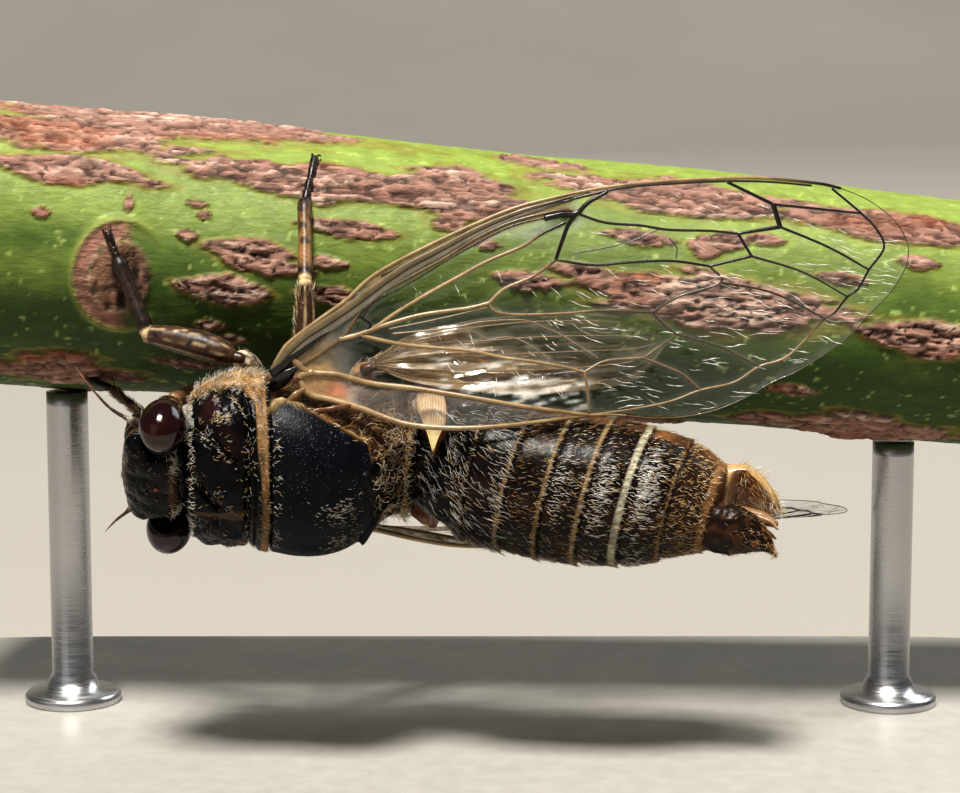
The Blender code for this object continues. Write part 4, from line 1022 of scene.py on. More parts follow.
def eye_piece(k, side):
    """A faceted glossy eye, flat where it meets the head, in a thin pale rim."""
    lat, lon = np.meshgrid(np.linspace(0.03, math.pi - 0.03, 90), turns(140), indexing="ij")
    u = EYE[1] + EYE_SIZE[1] * np.cos(lat)
    a = EYE[0] + EYE_SIZE[0] * np.sin(lat) * np.cos(lon)
    d = EYE[2] + EYE_SIZE[2] * np.sin(lat) * np.sin(lon)
    u = np.where(u < EYE_INNER, EYE_INNER + 0.02 * (u - EYE_INNER), u)
    tint = mix((0.0105, 0.0024, 0.0028), (0.020, 0.0034, 0.0034), ramp(d, 0.9, 1.9) * 0.8)
    tint = mix(tint, (0.012, 0.004, 0.005), ramp(-d, -0.75, -0.1))
    tint = mix(tint, (0.004, 0.003, 0.004), 0.85 * blob(a, 1.42, 0.085, d, 1.32, 0.14) * (u > 2.2))
    Form().closed(head_at(a, u * k, d), glossed(tint, 0.10)).build(
        f"eye_lens_{side}", EYE_LOOK, "eye", (f"eye_{side}",))
    sides = 10
    lon = np.linspace(0, 2 * math.pi, 121)[:-1]
    reach = math.sqrt(1 - ((EYE_INNER + 0.03 - EYE[1]) / EYE_SIZE[1]) ** 2) + 0.015
    middle = np.array((EYE[0], EYE_INNER + 0.02, EYE[2]))
    centre = np.stack([EYE[0] + EYE_SIZE[0] * reach * np.cos(lon), middle[1] + 0 * lon,
                       EYE[2] + EYE_SIZE[2] * reach * np.sin(lon)], -1)
    out = unit(centre - middle)[:, None]
    ring = centre[:, None] + 0.045 * turned(out, np.array((0, 1, 0)), turns(sides))
    ring = head_at(ring[..., 0], ring[..., 1] * k, ring[..., 2])
    around = np.concatenate([ring, ring[:1]])
    below = np.repeat(ramp(-np.sin(np.append(lon, 0)), -0.2, 0.8)[:, None], sides, axis=1)
    tint = glossed(mix((0.012, 0.010, 0.010), (0.13, 0.075, 0.035), below), 0.3)
    Form().add(around, [grid_faces(len(around), sides)], tint).build(
        f"eye_rim_{side}", CUTICLE, "black_cuticle")


def face():
    """The swollen face with its cross grooves, the beak and the feelers."""
    lat, lon = np.meshgrid(np.linspace(0.02, math.pi - 0.02, 110), turns(150), indexing="ij")
    x, y, z = np.sin(lat) * np.cos(lon), np.cos(lat), np.sin(lat) * np.sin(lon)
    grooves = np.cos(z * 7.5 * math.pi) * ramp(abs(y), 0.16, 0.34)
    grooves = grooves * ramp(-abs(y), -0.9, -0.7) * ramp(-x, -0.2, 0.3)
    size = 1 + 0.020 * grooves - 0.04 * bell(abs(y), 0.2, 0.06) * ramp(-x, -0.1, 0.4)
    a, u, d = 0.92 + 0.88 * x * size, 0.98 * y * size, -0.72 + 0.96 * z * size
    a = np.where(a > 0.6, 0.6 + 0.02 * (a - 0.6), a) + 0.10 * d + 0.02
    tint = mix((0.008, 0.007, 0.007), (0.09, 0.045, 0.018), 0.8 * ramp(-grooves, 0.0, 0.8))
    tint = mix(tint, (0.16, 0.085, 0.03), bell(y, 0, 0.13) * ramp(-z, -0.3, 0.6) * 0.8)
    Form().closed(at(a, u, d), glossed(tint, 0.22)).build(
        "face_bulge", CUTICLE, "black_cuticle", ("postclypeus",))
    path = body_path([(1.35, 0, -2.55), (2.1, 0, -3.1), (3.1, 0, -3.55), (4.3, 0, -3.7), (5.5, 0, -3.72)])
    rings, place, w = sweep(path, (0.33, 0.32, 0.28, 0.24, 0.13), 28, 0.85, SIDE, 0.06)
    press = (0.05 * bell(np.cos(w - math.pi / 2), -1, 0.3) + 0.05 * bell(place, 0.42, 0.02)
             + 0.04 * bell(place, 0.75, 0.02))
    rings = rings - outward(rings) * press[..., None]
    tint = mix((0.22, 0.115, 0.045), BLACK, ramp(place, 0.72, 0.9))
    Form().closed(rings, glossed(tint, 0.32)).build("beak", SHELL, "feeler", ("rostrum",))
    for side, path, radii in FEELERS:
        rings, place, _ = sweep([seen(*q) for q in path], radii, 18, 1.0, TOWARD, 0.03)
        joints = sum(bell(place, x, 0.008) for x in (0.17, 0.36, 0.5, 0.64, 0.78, 0.9))
        rings = rings - outward(rings) * (0.012 * joints)[..., None]
        tint = mix((0.045, 0.025, 0.018), (0.30, 0.27, 0.23), 0.8 * bell(place, 0.24, 0.06))
        tint = mix(tint, (0.20, 0.10, 0.06), ramp(place, 0.5, 0.9))
        Form().closed(rings, glossed(tint, 0.28)).build(
            f"feeler_{side}", LEG, "feeler", (f"antenna_{side}",))


def eye_look():
    """Deep red glossy cornea with fine facets."""
    look = Look("eye")
    colour, rough = look.tint()
    colour = look.scaled(colour, look.spread(look.noise(2500, 3.0), 0.75, 1.25))
    rough = look.sum(rough, look.spread(look.noise(5000), -0.03, 0.05))
    facets = look.node("ShaderNodeTexVoronoi", {"Vector": look.place, "Scale": 36000.0, "Randomness": 0.35})
    look.shine(Base_Color=colour, Roughness=rough, Normal=look.bump(facets.outputs["Distance"], 0.0012),
               Coat_Weight=0.3, Coat_Roughness=0.05, Specular_IOR_Level=0.4)
    return look.material


EYE_LOOK = eye_look()
HEAD_GRID = head()
for k, side in SIDES:
    eye_piece(k, side)
face()


# Wings

WING_ROOT = np.array([5.42, 3.60, -0.83])
WING_ALONG = np.array([0.9541, 0.1302, -0.2699])
WING_FORE = np.array([-0.2638, 0.7923, -0.5502])
WING_OUT = np.cross(WING_ALONG, WING_FORE)


def wing_spot(s, t, h, k=1):
    """A place of the wing: out from its root, fore or aft, and off its middle surface."""
    s, t, h = arrays(s, t, h)
    arch = 0.45 * bell(t, 0.3, 2.6) * (1 - np.exp(-s / 4)) - 0.003 * (s - 10) * np.maximum(s - 12, 0)
    clear = 1.25 * blob(np.minimum(t, 0.4), -3.0, 1.7, s, 6.3, 4.6)
    out = h + arch + clear
    a, u, d = (WING_ROOT[n] + WING_ALONG[n] * s + WING_FORE[n] * t + WING_OUT[n] * out for n in range(3))
    return at(a, u * k, d)


# The forewing's edges and veins, as distances out from its root and fore or aft of its middle line.
TIP = (21.14, 0.22)
FORE_EDGE = [
    (0.2, 0.3), (0.65, 1.18), (1.5, 1.6), (2.34, 2.0), (3.28, 2.58), (4.52, 3.01), (5.82, 3.37),
    (6.98, 3.65), (8.37, 3.92), (9.86, 4.01), (11.22, 4.02), (12.89, 3.91), (14.56, 3.7), (16.55, 3.36),
    (18.4, 2.84), (19.17, 2.53), (19.93, 2.05), (20.56, 1.45), (20.95, 0.85), TIP,
]
HIND_EDGE = [
    (0.2, -0.1), (0.58, -0.85), (1.22, -1.15), (2.05, -1.55), (2.87, -2.02), (3.49, -2.32), (4.35, -2.56),
    (5.3, -2.74), (6.63, -2.91), (7.97, -3.04), (9.64, -3.23), (10.69, -3.5), (11.58, -3.8), (12.51, -3.98),
    (13.2, -4.03), (14.01, -3.98), (14.84, -3.81), (15.94, -3.45), (16.85, -3.24), (18.56, -2.54),
    (19.54, -1.8), (20.33, -1.23), (20.97, -0.43), TIP,
]
NODE, R_END, N3, CU_END, M_END = (10.29, 3.36), (15.45, 3.42), (9.32, 2.0), (9.58, -1.78), (12.19, -0.31)
J1, J2, J3, J4, J5 = (15.46, 1.71), (16.82, 2.43), (16.9, 1.67), (15.78, 0.9), (14.33, 0.84)
J6, J7, J15, J16 = (14.61, 0.24), (13.14, 0.05), (12.89, -1.2), (11.64, -1.74)
A2, A3, A4 = (19.72, 1.58), (19.67, -0.32), (18.82, -1.08)
A5, A6, A7 = (17.96, -1.67), (15.5, -2.84), (13.4, -3.22)
# Each vein's points, its radius at both ends and how dark it is: none means by its place.
VEINS = [
    ([(0.45, 0.11), (1.91, 0.77), (2.64, 1.47), (3.15, 1.87), (4.39, 2.3), (5.71, 2.72), (7.0, 3.21),
      (8.3, 3.5), (9.79, 3.55), NODE], 0.055, 0.05, 0.55),
    ([(3.0, 0.92), (3.22, 0.99), (3.77, 1.25), (4.95, 1.69), (6.06, 2.05), (7.12, 2.38), (8.31, 2.63),
      (9.04, 2.92), (9.85, 3.14)], 0.06, 0.055, None),
    ([(1.91, 0.77), (2.5, 0.80), (3.1, 0.91), (3.72, 0.99), (4.74, 1.06), (6.17, 0.99), (6.9, 1.03)],
     0.075, 0.06, None),
    ([(6.9, 1.03), (7.45, 1.38), (8.5, 1.62), N3], 0.055, 0.05, None),
    ([(6.9, 1.03), (6.99, 0.75), (7.63, 0.5), (9.21, 0.23), (10.48, 0.09), M_END], 0.052, 0.035, 0.25),
    ([NODE, (9.95, 3.05), (9.65, 2.57), N3], 0.075, 0.06, 1.0),
    ([(2.5, 0.80), (2.91, 0.61), (3.82, 0.23), (4.87, -0.08), (6.02, -0.4), (6.97, -0.79), (8.03, -1.14),
      (8.92, -1.48), CU_END], 0.065, 0.045, None),
    ([CU_END, (9.53, -2.66), (9.44, -3.19)], 0.05, 0.04, 0.35),
    ([(0.45, 0.11), (0.71, -0.14), (1.56, -0.37), (2.61, -0.85), (3.92, -1.24), (5.48, -1.76), (6.75, -2.21),
      (8.03, -2.67), (9.44, -3.19)], 0.11, 0.055, 0.03),
    ([N3, (10.47, 1.61), (11.4, 1.5), (12.33, 1.39), (13.26, 1.21), J5], 0.042, 0.042, None),
    ([J5, J6, J7, M_END], 0.042, 0.034, 0.75), ([M_END, (12.5, -0.8), J15], 0.032, 0.032, 0.35),
    ([J15, (14.1, -1.81), (14.54, -2.1), A6], 0.034, 0.03, 0.4), ([J15, J16], 0.032, 0.032, 0.3),
    ([J16, (10.74, -1.6), (10.19, -1.59), CU_END], 0.036, 0.036, 0.25),
    ([J16, (12.41, -2.23), (12.87, -2.57), A7], 0.034, 0.03, 0.3),
    ([NODE, (11.16, 2.89), (12.3, 2.58), (13.2, 2.27), (14.58, 1.97), J1], 0.045, 0.042, 0.95),
    ([J5, J4], 0.045, 0.05, 1.0), ([J4, J1], 0.045, 0.045, 1.0), ([J1, J3], 0.05, 0.075, 1.0),
    ([J3, J2], 0.085, 0.085, 1.0), ([J2, R_END], 0.06, 0.05, 1.0),
    ([J2, (18.3, 2.0), A2], 0.045, 0.035, 1.0), ([J3, (18.4, 0.7), A3], 0.045, 0.035, 1.0),
    ([J4, (17.4, 0.05), A4], 0.042, 0.03, 0.9),
    ([J6, (16.3, -0.45), A5], 0.04, 0.03, 0.85),
    ([(18.9, 2.55), A2, (20.14, 0.96), (20.29, 0.31), A3, (19.2, -0.9), A4, (18.3, -1.55), A5, (16.55, -2.67),
      A6, (14.56, -3.2), A7, (12.25, -3.38), (10.78, -3.33), (9.44, -3.19)], 0.042, 0.028, (16.6, 18.6)),
    ([(0.3, 0.35), (0.45, 0.11)], 0.12, 0.12, 0.0),
    ([(3.54, 0.80), (5.0, 0.82), (6.8, 0.9)], 0.022, 0.02, 0.15),
    ([(3.62, 0.62), (5.46, 0.46), (6.56, 0.46), (7.92, 0.26), (8.56, -0.12), (9.02, -0.42), (10.12, -1.44)],
     0.03, 0.018, 0.15),
    ([(6.32, 0.14), (6.62, -0.12), (7.28, -0.18), (7.80, -0.44), (8.50, -1.14)], 0.02, 0.018, 0.2),
    ([(10.0, 2.10), (10.96, 2.08), (11.92, 2.14), (12.82, 2.34)], 0.02, 0.018, 0.8),
    ([(13.16, 1.98), (13.36, 1.66), (13.26, 1.32)], 0.018, 0.018, 0.8),
    ([(2.7, 1.28), (3.2, 1.75), (4.5, 2.17), (6.0, 2.72), (8.0, 3.33), (9.7, 3.42)], 0.03, 0.03, 0.9),
    ([(3.6, 2.55), (5.5, 3.10), (7.5, 3.58), (9.0, 3.80), (10.2, 3.82)], 0.028, 0.05, 0.85),
    ([(9.25, 3.40), (9.8, 3.42), (10.29, 3.36), (10.7, 3.62), (11.4, 3.86)], 0.105, 0.06, 1.0),
    ([(10.2, 3.85), (12.0, 3.90), (14.0, 3.68), (15.7, 3.42), (17.0, 3.14), (18.2, 2.80)], 0.05, 0.035, 0.9),
    ([(-0.45, 0.05), (0.14, 0.40), (0.60, 0.62), (1.10, 0.88), (1.75, 1.20), (2.40, 1.52)], 0.17, 0.035, 1.0),
    ([(2.5, 1.5), (2.85, 1.2), (2.95, 0.98), (2.55, 0.72)], 0.045, 0.06, 1.0),
]
CREASES = 230
VEIN_TAN, VEIN_PALE, VEIN_BLACK = (0.215, 0.130, 0.052), (0.39, 0.28, 0.155), (0.010, 0.007, 0.005)


def edge_at(edge, s):
    line, _ = spline(edge, 0.1)
    return np.interp(s, np.maximum.accumulate(line[:, 0]), line[:, 1])


def vein_tint(s, t, dark):
    """Tan at the root, black towards the tip, unless the vein says how dark it is."""
    natural = ramp(s + 0.9 * t, 9.2, 11.8) * ramp(s, 7.2, 10.0)
    if isinstance(dark, tuple):
        share = ramp(s, *dark)
    else:
        share = natural if dark is None else np.maximum(dark + 0 * s, natural * 0.75)
    streak = noise(level(s * 1.4, t * 2.5), 90, 2)
    colour = mix(VEIN_TAN, VEIN_PALE, np.clip(0.45 + 0.6 * streak, 0, 1) * (1 - share))
    return mix(colour, VEIN_BLACK, np.clip(share, 0, 1))


def wing_wide(path, k):
    """The way across a wing's path, along the wing's surface."""
    return unit(np.cross(path[-1] - path[0], wing_spot(8.0, 0.0, 1.0, k) - wing_spot(8.0, 0.0, 0.0, k)))


def wing_tube(shape, line, r0, r1, dark, k, sides=10):
    """One vein as a tube that follows the wing's surface."""
    flat, _ = spline(line, 0.16)
    if len(flat) < 3:
        flat = np.array([line[0], np.mean(line, axis=0), line[-1]], float)
    path = wing_spot(flat[:, 0], flat[:, 1], 0.015, k)
    rings, place, _ = sweep(path, np.linspace(r0, r1, len(path)), sides, 0.85, wing_wide(path, k), 0.5)
    s, t = (np.interp(place, np.linspace(0, 1, len(flat)), flat[:, n]) for n in range(2))
    shape.closed(rings, glossed(vein_tint(s, t, dark), 0.3))


RIDGE = [
    (-0.35, 0.12), (0.1, 0.52), (0.75, 0.95), (1.7, 1.35), (2.6, 1.74), (3.4, 2.14), (4.5, 2.62),
    (5.8, 3.02), (7.0, 3.40), (8.4, 3.70), (9.6, 3.82), (10.8, 3.92),
]


def costal_ridge(shape, k):
    """The broad striped ridge between the front edge and the first vein, from the root to the node."""
    flat, _ = spline(RIDGE, 0.16)
    path = wing_spot(flat[:, 0], flat[:, 1], 0.02, k)
    radii = (0.22, 0.25, 0.24, 0.20, 0.16, 0.12, 0.06)
    rings, place, w = sweep(path, radii, 48, 0.40, wing_wide(path, k), 0.3)
    across = np.cos(w)
    streak = noise(level(place * 12, across * 6), 88, 2)
    line = np.cos(across * 8.5 + 1.5 * streak)
    groove = bell(across * k, 0.05, 0.14)
    rings = rings + outward(rings) * (0.004 * line - 0.035 * groove)[..., None]
    # Half of the ridge's width is pale grey: partly the ridge's own pale stripe, partly a painted highlight.
    tint = mix((0.140, 0.105, 0.055), (0.27, 0.25, 0.21), ramp(across * k, 0.1, 0.4) * 0.85)
    tint = mix(tint, (0.07, 0.045, 0.022), ramp(-line, 0.3, 0.95) * 0.45)
    tint = mix(tint, (0.020, 0.013, 0.008), groove)
    tint = mix(tint, VEIN_BLACK, ramp(place, 0.80, 0.95) * ramp(streak, -0.4, 0.1))
    shape.closed(rings, glossed(tint, 0.33))


def forewing(k, side):
    """A clear membrane with fine creases, and the veins that carry it."""
    q, v = np.meshgrid(np.linspace(0, 1, 250), np.linspace(0, 1, 84), indexing="ij")
    s = 0.2 + (TIP[0] - 0.2) * (1 - (1 - q) ** 1.45)
    fore, hind = edge_at(FORE_EDGE, s), edge_at(HIND_EDGE, s)
    t = hind + (fore - hind) * v
    lines = [spline(line, 0.7)[0] for line, *_ in VEINS]
    near = np.min([line_distance(s, t, line) for line in lines], axis=0)
    flat = level(s, t)
    open_ = ramp(near, 0.05, 0.45)
    tilt = flat @ np.array([[0.83, 0.55, 0], [-0.55, 0.83, 0], [0, 0, 1]])
    ripple = noise(tilt * (2.0, 5.0, 1.0), 91 + k, 2)
    relief = open_ * (0.045 * noise(flat * (0.8, 1.3, 1), 92 + k, 2) + 0.030 * ripple)
    pleats = open_ * 0.05 * np.sin(t * 14 + 2 * noise(flat * 0.5, 94)) * within(s, 5.2, 9.6, 0.8)
    relief = relief + pleats * ramp(-t, -0.6, 0.1) * ramp(t, -2.6, -2.0)
    relief = relief + open_ * 0.022 * noise(flat * (2.2, 5.0, 1), 89, 2) * ramp(-s, -10, -8)
    root = ramp(-s, -2.6, -0.9)
    clavus = ramp(-(t + 0.32 * s - 0.05), 0.0, 0.2) * ramp(-s, -9.8, -9.0)
    tint = mix((0.62, 0.66, 0.68), (0.50, 0.33, 0.16), np.maximum(root, 0.3 * clavus))
    lower = np.interp(s, *np.array(VEINS[8][0]).T)
    upper = np.interp(s, *np.array(VEINS[6][0]).T)
    folds = within(s, 4.8, 9.6, 0.8) * ramp(t - lower, 0.0, 0.15) * ramp(upper - t, 0.0, 0.3)
    # Cream streaks over the folds: partly the pleats' pale colour, partly a painted highlight.
    pale_pleats_and_highlight = ramp(noise(level(s * 1.2, t * 8), 96 + k, 3), 0.05, 0.40) * folds
    tint = mix(tint, (0.80, 0.74, 0.64), pale_pleats_and_highlight)
    blush = blob(s, 1.55, 0.45, t, -0.85, 0.26)
    lobe = np.exp(-((s + 0.35 * t - 0.5) / 0.95) ** 8) * ramp(-t, -0.15, 0.1)
    tint = mix(mix(tint, (0.44, 0.27, 0.13), lobe), (0.52, 0.17, 0.11), 0.75 * blush)
    costal = ramp(s, 2.4, 3.2) * ramp(-s, -10.6, -9.8) * ramp(t - fore, -0.75, -0.55)
    tint = mix(tint, (0.40, 0.27, 0.14), costal)
    haze = 0.002 + 0.22 * root + 0.05 * clavus + 0.5 * costal + 0.06 * bell(near, 0, 0.10) + 0.34 * pale_pleats_and_highlight
    # A faint milky band along the hind edge past the middle: a painted sheen.
    haze = haze + ramp(s, 11, 15) * 0.05 * ramp(-(t - hind), -0.35, 0)
    haze = haze + 0.24 * blush + 0.45 * lobe
    # The left wing's hind part shows edge on below the body, where it is amber.
    amber = (k < 0) * ramp(-(t - hind), -1.2, -0.8) * within(s, 1.2, 7.6, 0.5)
    tint = mix(tint, (0.40, 0.24, 0.10), amber)
    stain = blob(s, 9.9, 0.45, t, 3.3, 0.28) + 0.5 * blob(s, 9.0, 0.7, t, 3.05, 0.16)
    tint = mix(tint, (0.02, 0.012, 0.01), np.clip(stain * 1.3, 0, 1))
    haze = haze + 0.6 * amber + 0.75 * np.clip(stain, 0, 1)
    tint = glossed(tint, np.clip(haze, 0, 0.95))
    sheet = Form()
    sheet.sheet(wing_spot(s, t, relief + 0.014, k), wing_spot(s, t, relief - 0.014, k), tint)
    # Short creases lie across the cells and catch the light; their near-white tint and haze are a painted
    # glint.
    made = 0
    while made < CREASES:
        s0 = rng.uniform(4.5, 20.6)
        t0 = rng.uniform(edge_at(HIND_EDGE, s0) + 0.12, edge_at(FORE_EDGE, s0) - 0.4)
        low = s0 > 9 and t0 < 0.6
        if not low and rng.uniform() < 0.45:
            continue
        size = rng.uniform(0.10, 0.36) * (1 if s0 > 9 else 0.7) * (1.5 if low else 1.0)
        turn = (-20 if low else -34) - 34 * float(ramp(np.array(-s0), -11.0, -7.0))
        turn = math.radians(turn + rng.normal(0, 9 if low else 12))
        ends = np.array([(s0 + size * m * math.cos(turn), t0 + size * m * math.sin(turn))
                         for m in (-1, 0, 1)])
        if min(line_distance(ends[:, 0], ends[:, 1], line).min() for line in lines) < 0.07:
            continue
        w = np.linspace(-1, 1, 9)
        bend = rng.normal(0, 0.10) * size + 0.05 * size * np.sin(w * rng.uniform(2, 5) + made)
        spots = wing_spot(s0 + size * w * math.cos(turn) - bend * math.sin(turn),
                          t0 + size * w * math.sin(turn) + bend * math.cos(turn), 0.02, k)
        r = rng.uniform(0.009, 0.021) * (1 - 0.9 * w**2) * (1 + 0.5 * np.sin(w * 7 + made))
        rings, _, _ = sweep(spots, r, 6, 0.7, None, 5.0, 0.2)
        sheet.closed(rings, (0.95, 0.94, 0.86, rng.uniform(0.2, 0.95)))
        made += 1
    sheet.build(f"forewing_film_{side}", MEMBRANE, "wing", (f"forewing_{side}",))
    frame_of = Form()
    for line, r0, r1, dark in VEINS:
        wing_tube(frame_of, line, r0, r1, dark, k)
    wing_tube(frame_of, [(-0.35, 0.35), (0.1, 0.85)] + FORE_EDGE[1:16], 0.065, 0.05, (16.2, 18.8), k)
    wing_tube(frame_of, [(0.8, -0.16), (0.34, -0.24)] + HIND_EDGE[1:12], 0.13, 0.04, 0.08, k)
    costal_ridge(frame_of, k)
    wing_tube(frame_of, HIND_EDGE[11:] + FORE_EDGE[:14:-1], 0.016, 0.016, 0.45, k, sides=6)
    frame_of.build(f"forewing_veins_{side}", VEIN, "wing")


def hindwing(k, side):
    """The folded hindwing: glossy pleats under the forewing's trailing half."""
    upper = [(2.9, -0.3), (4.0, 0.25), (5.5, 0.42), (8.0, 0.30), (10.5, -0.15), (12.0, -0.8), (12.7, -1.6)]
    lower = [(2.9, -0.5), (4.0, -1.2), (6.0, -1.85), (8.0, -2.3), (10.0, -2.6), (11.6, -2.55), (12.7, -1.6)]

    def across_fan(s, share):
        return edge_at(lower, s) + (edge_at(upper, s) - edge_at(lower, s)) * share

    q, v = np.meshgrid(np.linspace(0, 1, 150), np.linspace(0, 1, 120), indexing="ij")
    s = 2.9 + 9.8 * (1 - (1 - q) ** 1.4)
    t = across_fan(s, v)
    fold = np.abs((v * 7 + 0.12 * np.sin(s * 1.2)) % 2 - 1)
    flat = level(s, t * 3)
    h = -1.06 + 0.26 * (fold - 0.5) * ramp(q, 0.0, 0.15) * ramp(-q, -1.0, -0.9)
    h = h + 0.06 * noise(flat * (1.1, 0.9, 1), 95 + k, 3)
    h = h + 0.030 * noise(flat * (2.4, 3.0, 1), 101, 2) * ramp(q, 0.1, 0.5)
    streak = ramp(noise(level(s * 1.1, v * 22), 97, 3), 0.0, 0.4)
    tint = mix((0.48, 0.34, 0.19), (0.34, 0.20, 0.09), ramp(fold, 0.85, 1.0))
    # The pale streaks are partly the pleats' cream colour, partly a painted highlight; they also raise the
    # haze.
    tint = mix(tint, (0.70, 0.58, 0.42), streak * 0.8)
    # Past its middle the fan clears above the vein that it lies under.
    cover = np.interp(s, *np.array(VEINS[6][0]).T) - 0.1
    clear = ramp(t - cover, -0.15, 0.35) * ramp(s, 5.2, 7.0) + ramp(s, 9.6, 10.6)
    haze = 0.16 + 0.24 * streak + 0.12 * ramp(fold, 0.85, 1.0) + 0.28 * ramp(-s, -8.5, -3.5)
    haze = haze * (1 - 0.8 * np.clip(clear, 0, 1))
    h = h - 0.8 * np.clip(clear, 0, 1) * (h - h.mean())
    Form().sheet(wing_spot(s, t, h + 0.012, k), wing_spot(s, t, h - 0.012, k), glossed(tint, haze)).build(
        f"hindwing_fan_{side}", MEMBRANE, "wing", (f"hindwing_{side}",))
    ribs = Form()
    for m in range(5):
        share = (m + 0.5) / 5
        line_s = np.linspace(2.95, 12.3 - 0.9 * abs(m - 2), 40)
        height = np.interp(line_s, s[:, 0], h[:, int(share * 119)])
        path = wing_spot(line_s, across_fan(line_s, share), height, k)
        rings, _, _ = sweep(path, np.linspace(0.032, 0.012, 40), 8, 1.0, None, 0.5)
        ribs.closed(rings, (0.2675, 0.175, 0.0829, 0.3))
    ribs.build(f"hindwing_ribs_{side}", VEIN, "wing")


def wing_base(k, side):
    """The hard plates and pads that hinge a wing to the thorax."""
    pads = Form()
    # Each has a path in the body's axes, radii, a flatness, a colour and a roughness.
    plates = (
        ([(4.92, 3.00, -0.60), (5.18, 3.30, -0.66), (5.45, 3.55, -0.78), (5.75, 3.78, -0.92)],
         (0.18, 0.30, 0.24, 0.08), 0.45, (0.010, 0.010, 0.013), 0.15),
        ([(4.85, 2.98, -0.95), (5.15, 3.3, -1.0), (5.45, 3.65, -1.15), (5.9, 4.05, -1.45)],
         (0.22, 0.26, 0.2, 0.10), 0.7, (0.30, 0.185, 0.085), 0.35),
        ([(5.5, 2.88, -0.05), (5.75, 3.08, -0.25), (6.05, 3.2, -0.5)], (0.17, 0.20, 0.10),
         0.6, (0.20, 0.11, 0.05), 0.3),
        ([(6.0, 2.75, 0.45), (6.5, 2.92, 0.2), (7.1, 2.95, 0.0), (7.7, 2.9, -0.3)], (0.10, 0.13, 0.11, 0.05),
         0.7, (0.13, 0.05, 0.02), 0.3),
    )
    for path, radii, flat, colour, rough in plates:
        rings, _, _ = sweep(body_path(path, k), radii, 24, flat, SIDE, 0.05)
        p = rings @ TO_BODY
        rings = rings + 0.03 * noise(p * 3, 99)[..., None] * outward(rings)
        tint = mix(colour, np.array(colour) * 0.35, ramp(noise(p * 2.5, 98, 2), 0.0, 0.5))
        pads.closed(rings, glossed(tint, rough))
    pads.build(f"wing_hinge_{side}", SHELL, "black_cuticle")


for k, side in SIDES:
    forewing(k, side)
    hindwing(k, side)
    wing_base(k, side)


# Legs

def place_along(points, shares):
    """Points at shares of the way along a straight run from the first to the second."""
    p, q = (np.array(v, float) for v in points)
    return [p + (q - p) * s for s in shares]


LEG_DARK, KNEE_PALE, TOE_R = (0.012, 0.007, 0.005), (0.58, 0.44, 0.24), 0.17


def leg(name, coxa, root, knee, ankle, foot, thick, thin, hips, thigh, shank):
    """Hip, thigh, shin, three foot joints and two claws, ringed and striped."""
    shape = Form()

    def limb(path, radii, colour, sides=28, flat=0.92, step=0.07, stripe=None, rough=0.32, bands=()):
        rings, place, w = sweep(path, radii, sides, flat, TOWARD, step)
        p = rings @ TO_BODY
        rings = rings + outward(rings) * (0.012 * noise(p * 4.0, 110, 2))[..., None]
        tint = mix(colour, LEG_DARK, 0.85 * ramp(noise(p * (3.0, 4.0, 4.0), 111, 3), 0.0, 0.30))
        if stripe is not None:
            lines = ramp(np.cos(7 * w + 1.0 + 1.6 * noise(p * 2, 112)), 0.72, 0.98)
            tint = mix(tint, stripe, lines * within(place, 0.08, 0.92, 0.1))
        for middle, wide, band in bands:
            tint = mix(tint, band, bell(place, middle, wide))
        shape.closed(rings, glossed(tint, rough))

    limb(place_along((coxa, root), (0, 0.4, 0.8, 0.97)), (0.40, 0.44, 0.36, 0.22), hips)
    limb(place_along((root, knee), (-0.03, 0.03, 0.10)), (0.20, 0.22, 0.20), thigh)
    bow = np.cross(unit(knee - root), TOWARD) * 0.05
    path = place_along((root, knee), (0.08, 0.2, 0.45, 0.72, 0.92, 1.0))
    path = [q + bow * m for q, m in zip(path, (0, 1, 2, 1.5, 0.4, 0))]
    limb(path, [thick * m for m in (0.62, 0.95, 1.08, 0.92, 0.74, 0.62)], thigh, rough=0.40,
         stripe=(0.36, 0.26, 0.15), bands=((0.98, 0.05, (0.62, 0.45, 0.24)),))
    path = place_along((knee, ankle), (0.03, 0.15, 0.4, 0.7, 0.93, 1.0))
    limb(path, [thin * m for m in (0.85, 0.95, 0.88, 0.85, 0.98, 0.8)], shank, rough=0.42,
         bands=((0.15, 0.10, LEG_DARK), (1.0, 0.40, LEG_DARK), (0.0, 0.05, KNEE_PALE)))
    for start, end, big in ((0.02, 0.24, 1.0), (0.27, 0.46, 0.9), (0.49, 1.0, 0.95)):
        limb(place_along((ankle, foot), (start, (start + end) / 2, end)),
             [TOE_R * big * m for m in (0.72, 0.95, 1.0)], LEG_DARK, 20, step=0.04)
    # Two claws curve down from the last joint, and short spurs stand at the shin's end.
    way = unit(foot - ankle)
    off_bark = foot - BRANCH_MIDDLE - BRANCH_DIR * ((foot - BRANCH_MIDDLE) @ BRANCH_DIR)
    sideways = unit(np.cross(way, off_bark))
    inward = -unit(off_bark)
    for m in (-1, 1):
        claw = [foot + way * x + sideways * m * y + inward * z for x, y, z in
                ((-0.02, 0.03, 0.0), (0.13, 0.09, -0.03), (0.25, 0.14, 0.05), (0.28, 0.16, 0.17))]
        limb(claw, (0.055, 0.045, 0.03, 0.006), (0.04, 0.015, 0.008), 10, step=0.03, rough=0.2)
    down = unit(ankle - knee)
    x = unit(np.cross(down, TOWARD))
    for out in turned(x, np.cross(down, x), turns(5)):
        tip = ankle + down * 0.14 + out * 0.24
        spur = [ankle - down * 0.06 + out * thin * 0.6, (ankle + out * 0.19 + tip) / 2, tip]
        limb(spur, (0.03, 0.02, 0.004), LEG_DARK, 7, step=0.06)
    shape.build(f"leg_{name}", LEG, "leg", (f"coxa_{name}", f"femur_{name}", f"tibia_{name}"))
    return [coxa, root, knee, ankle, foot]


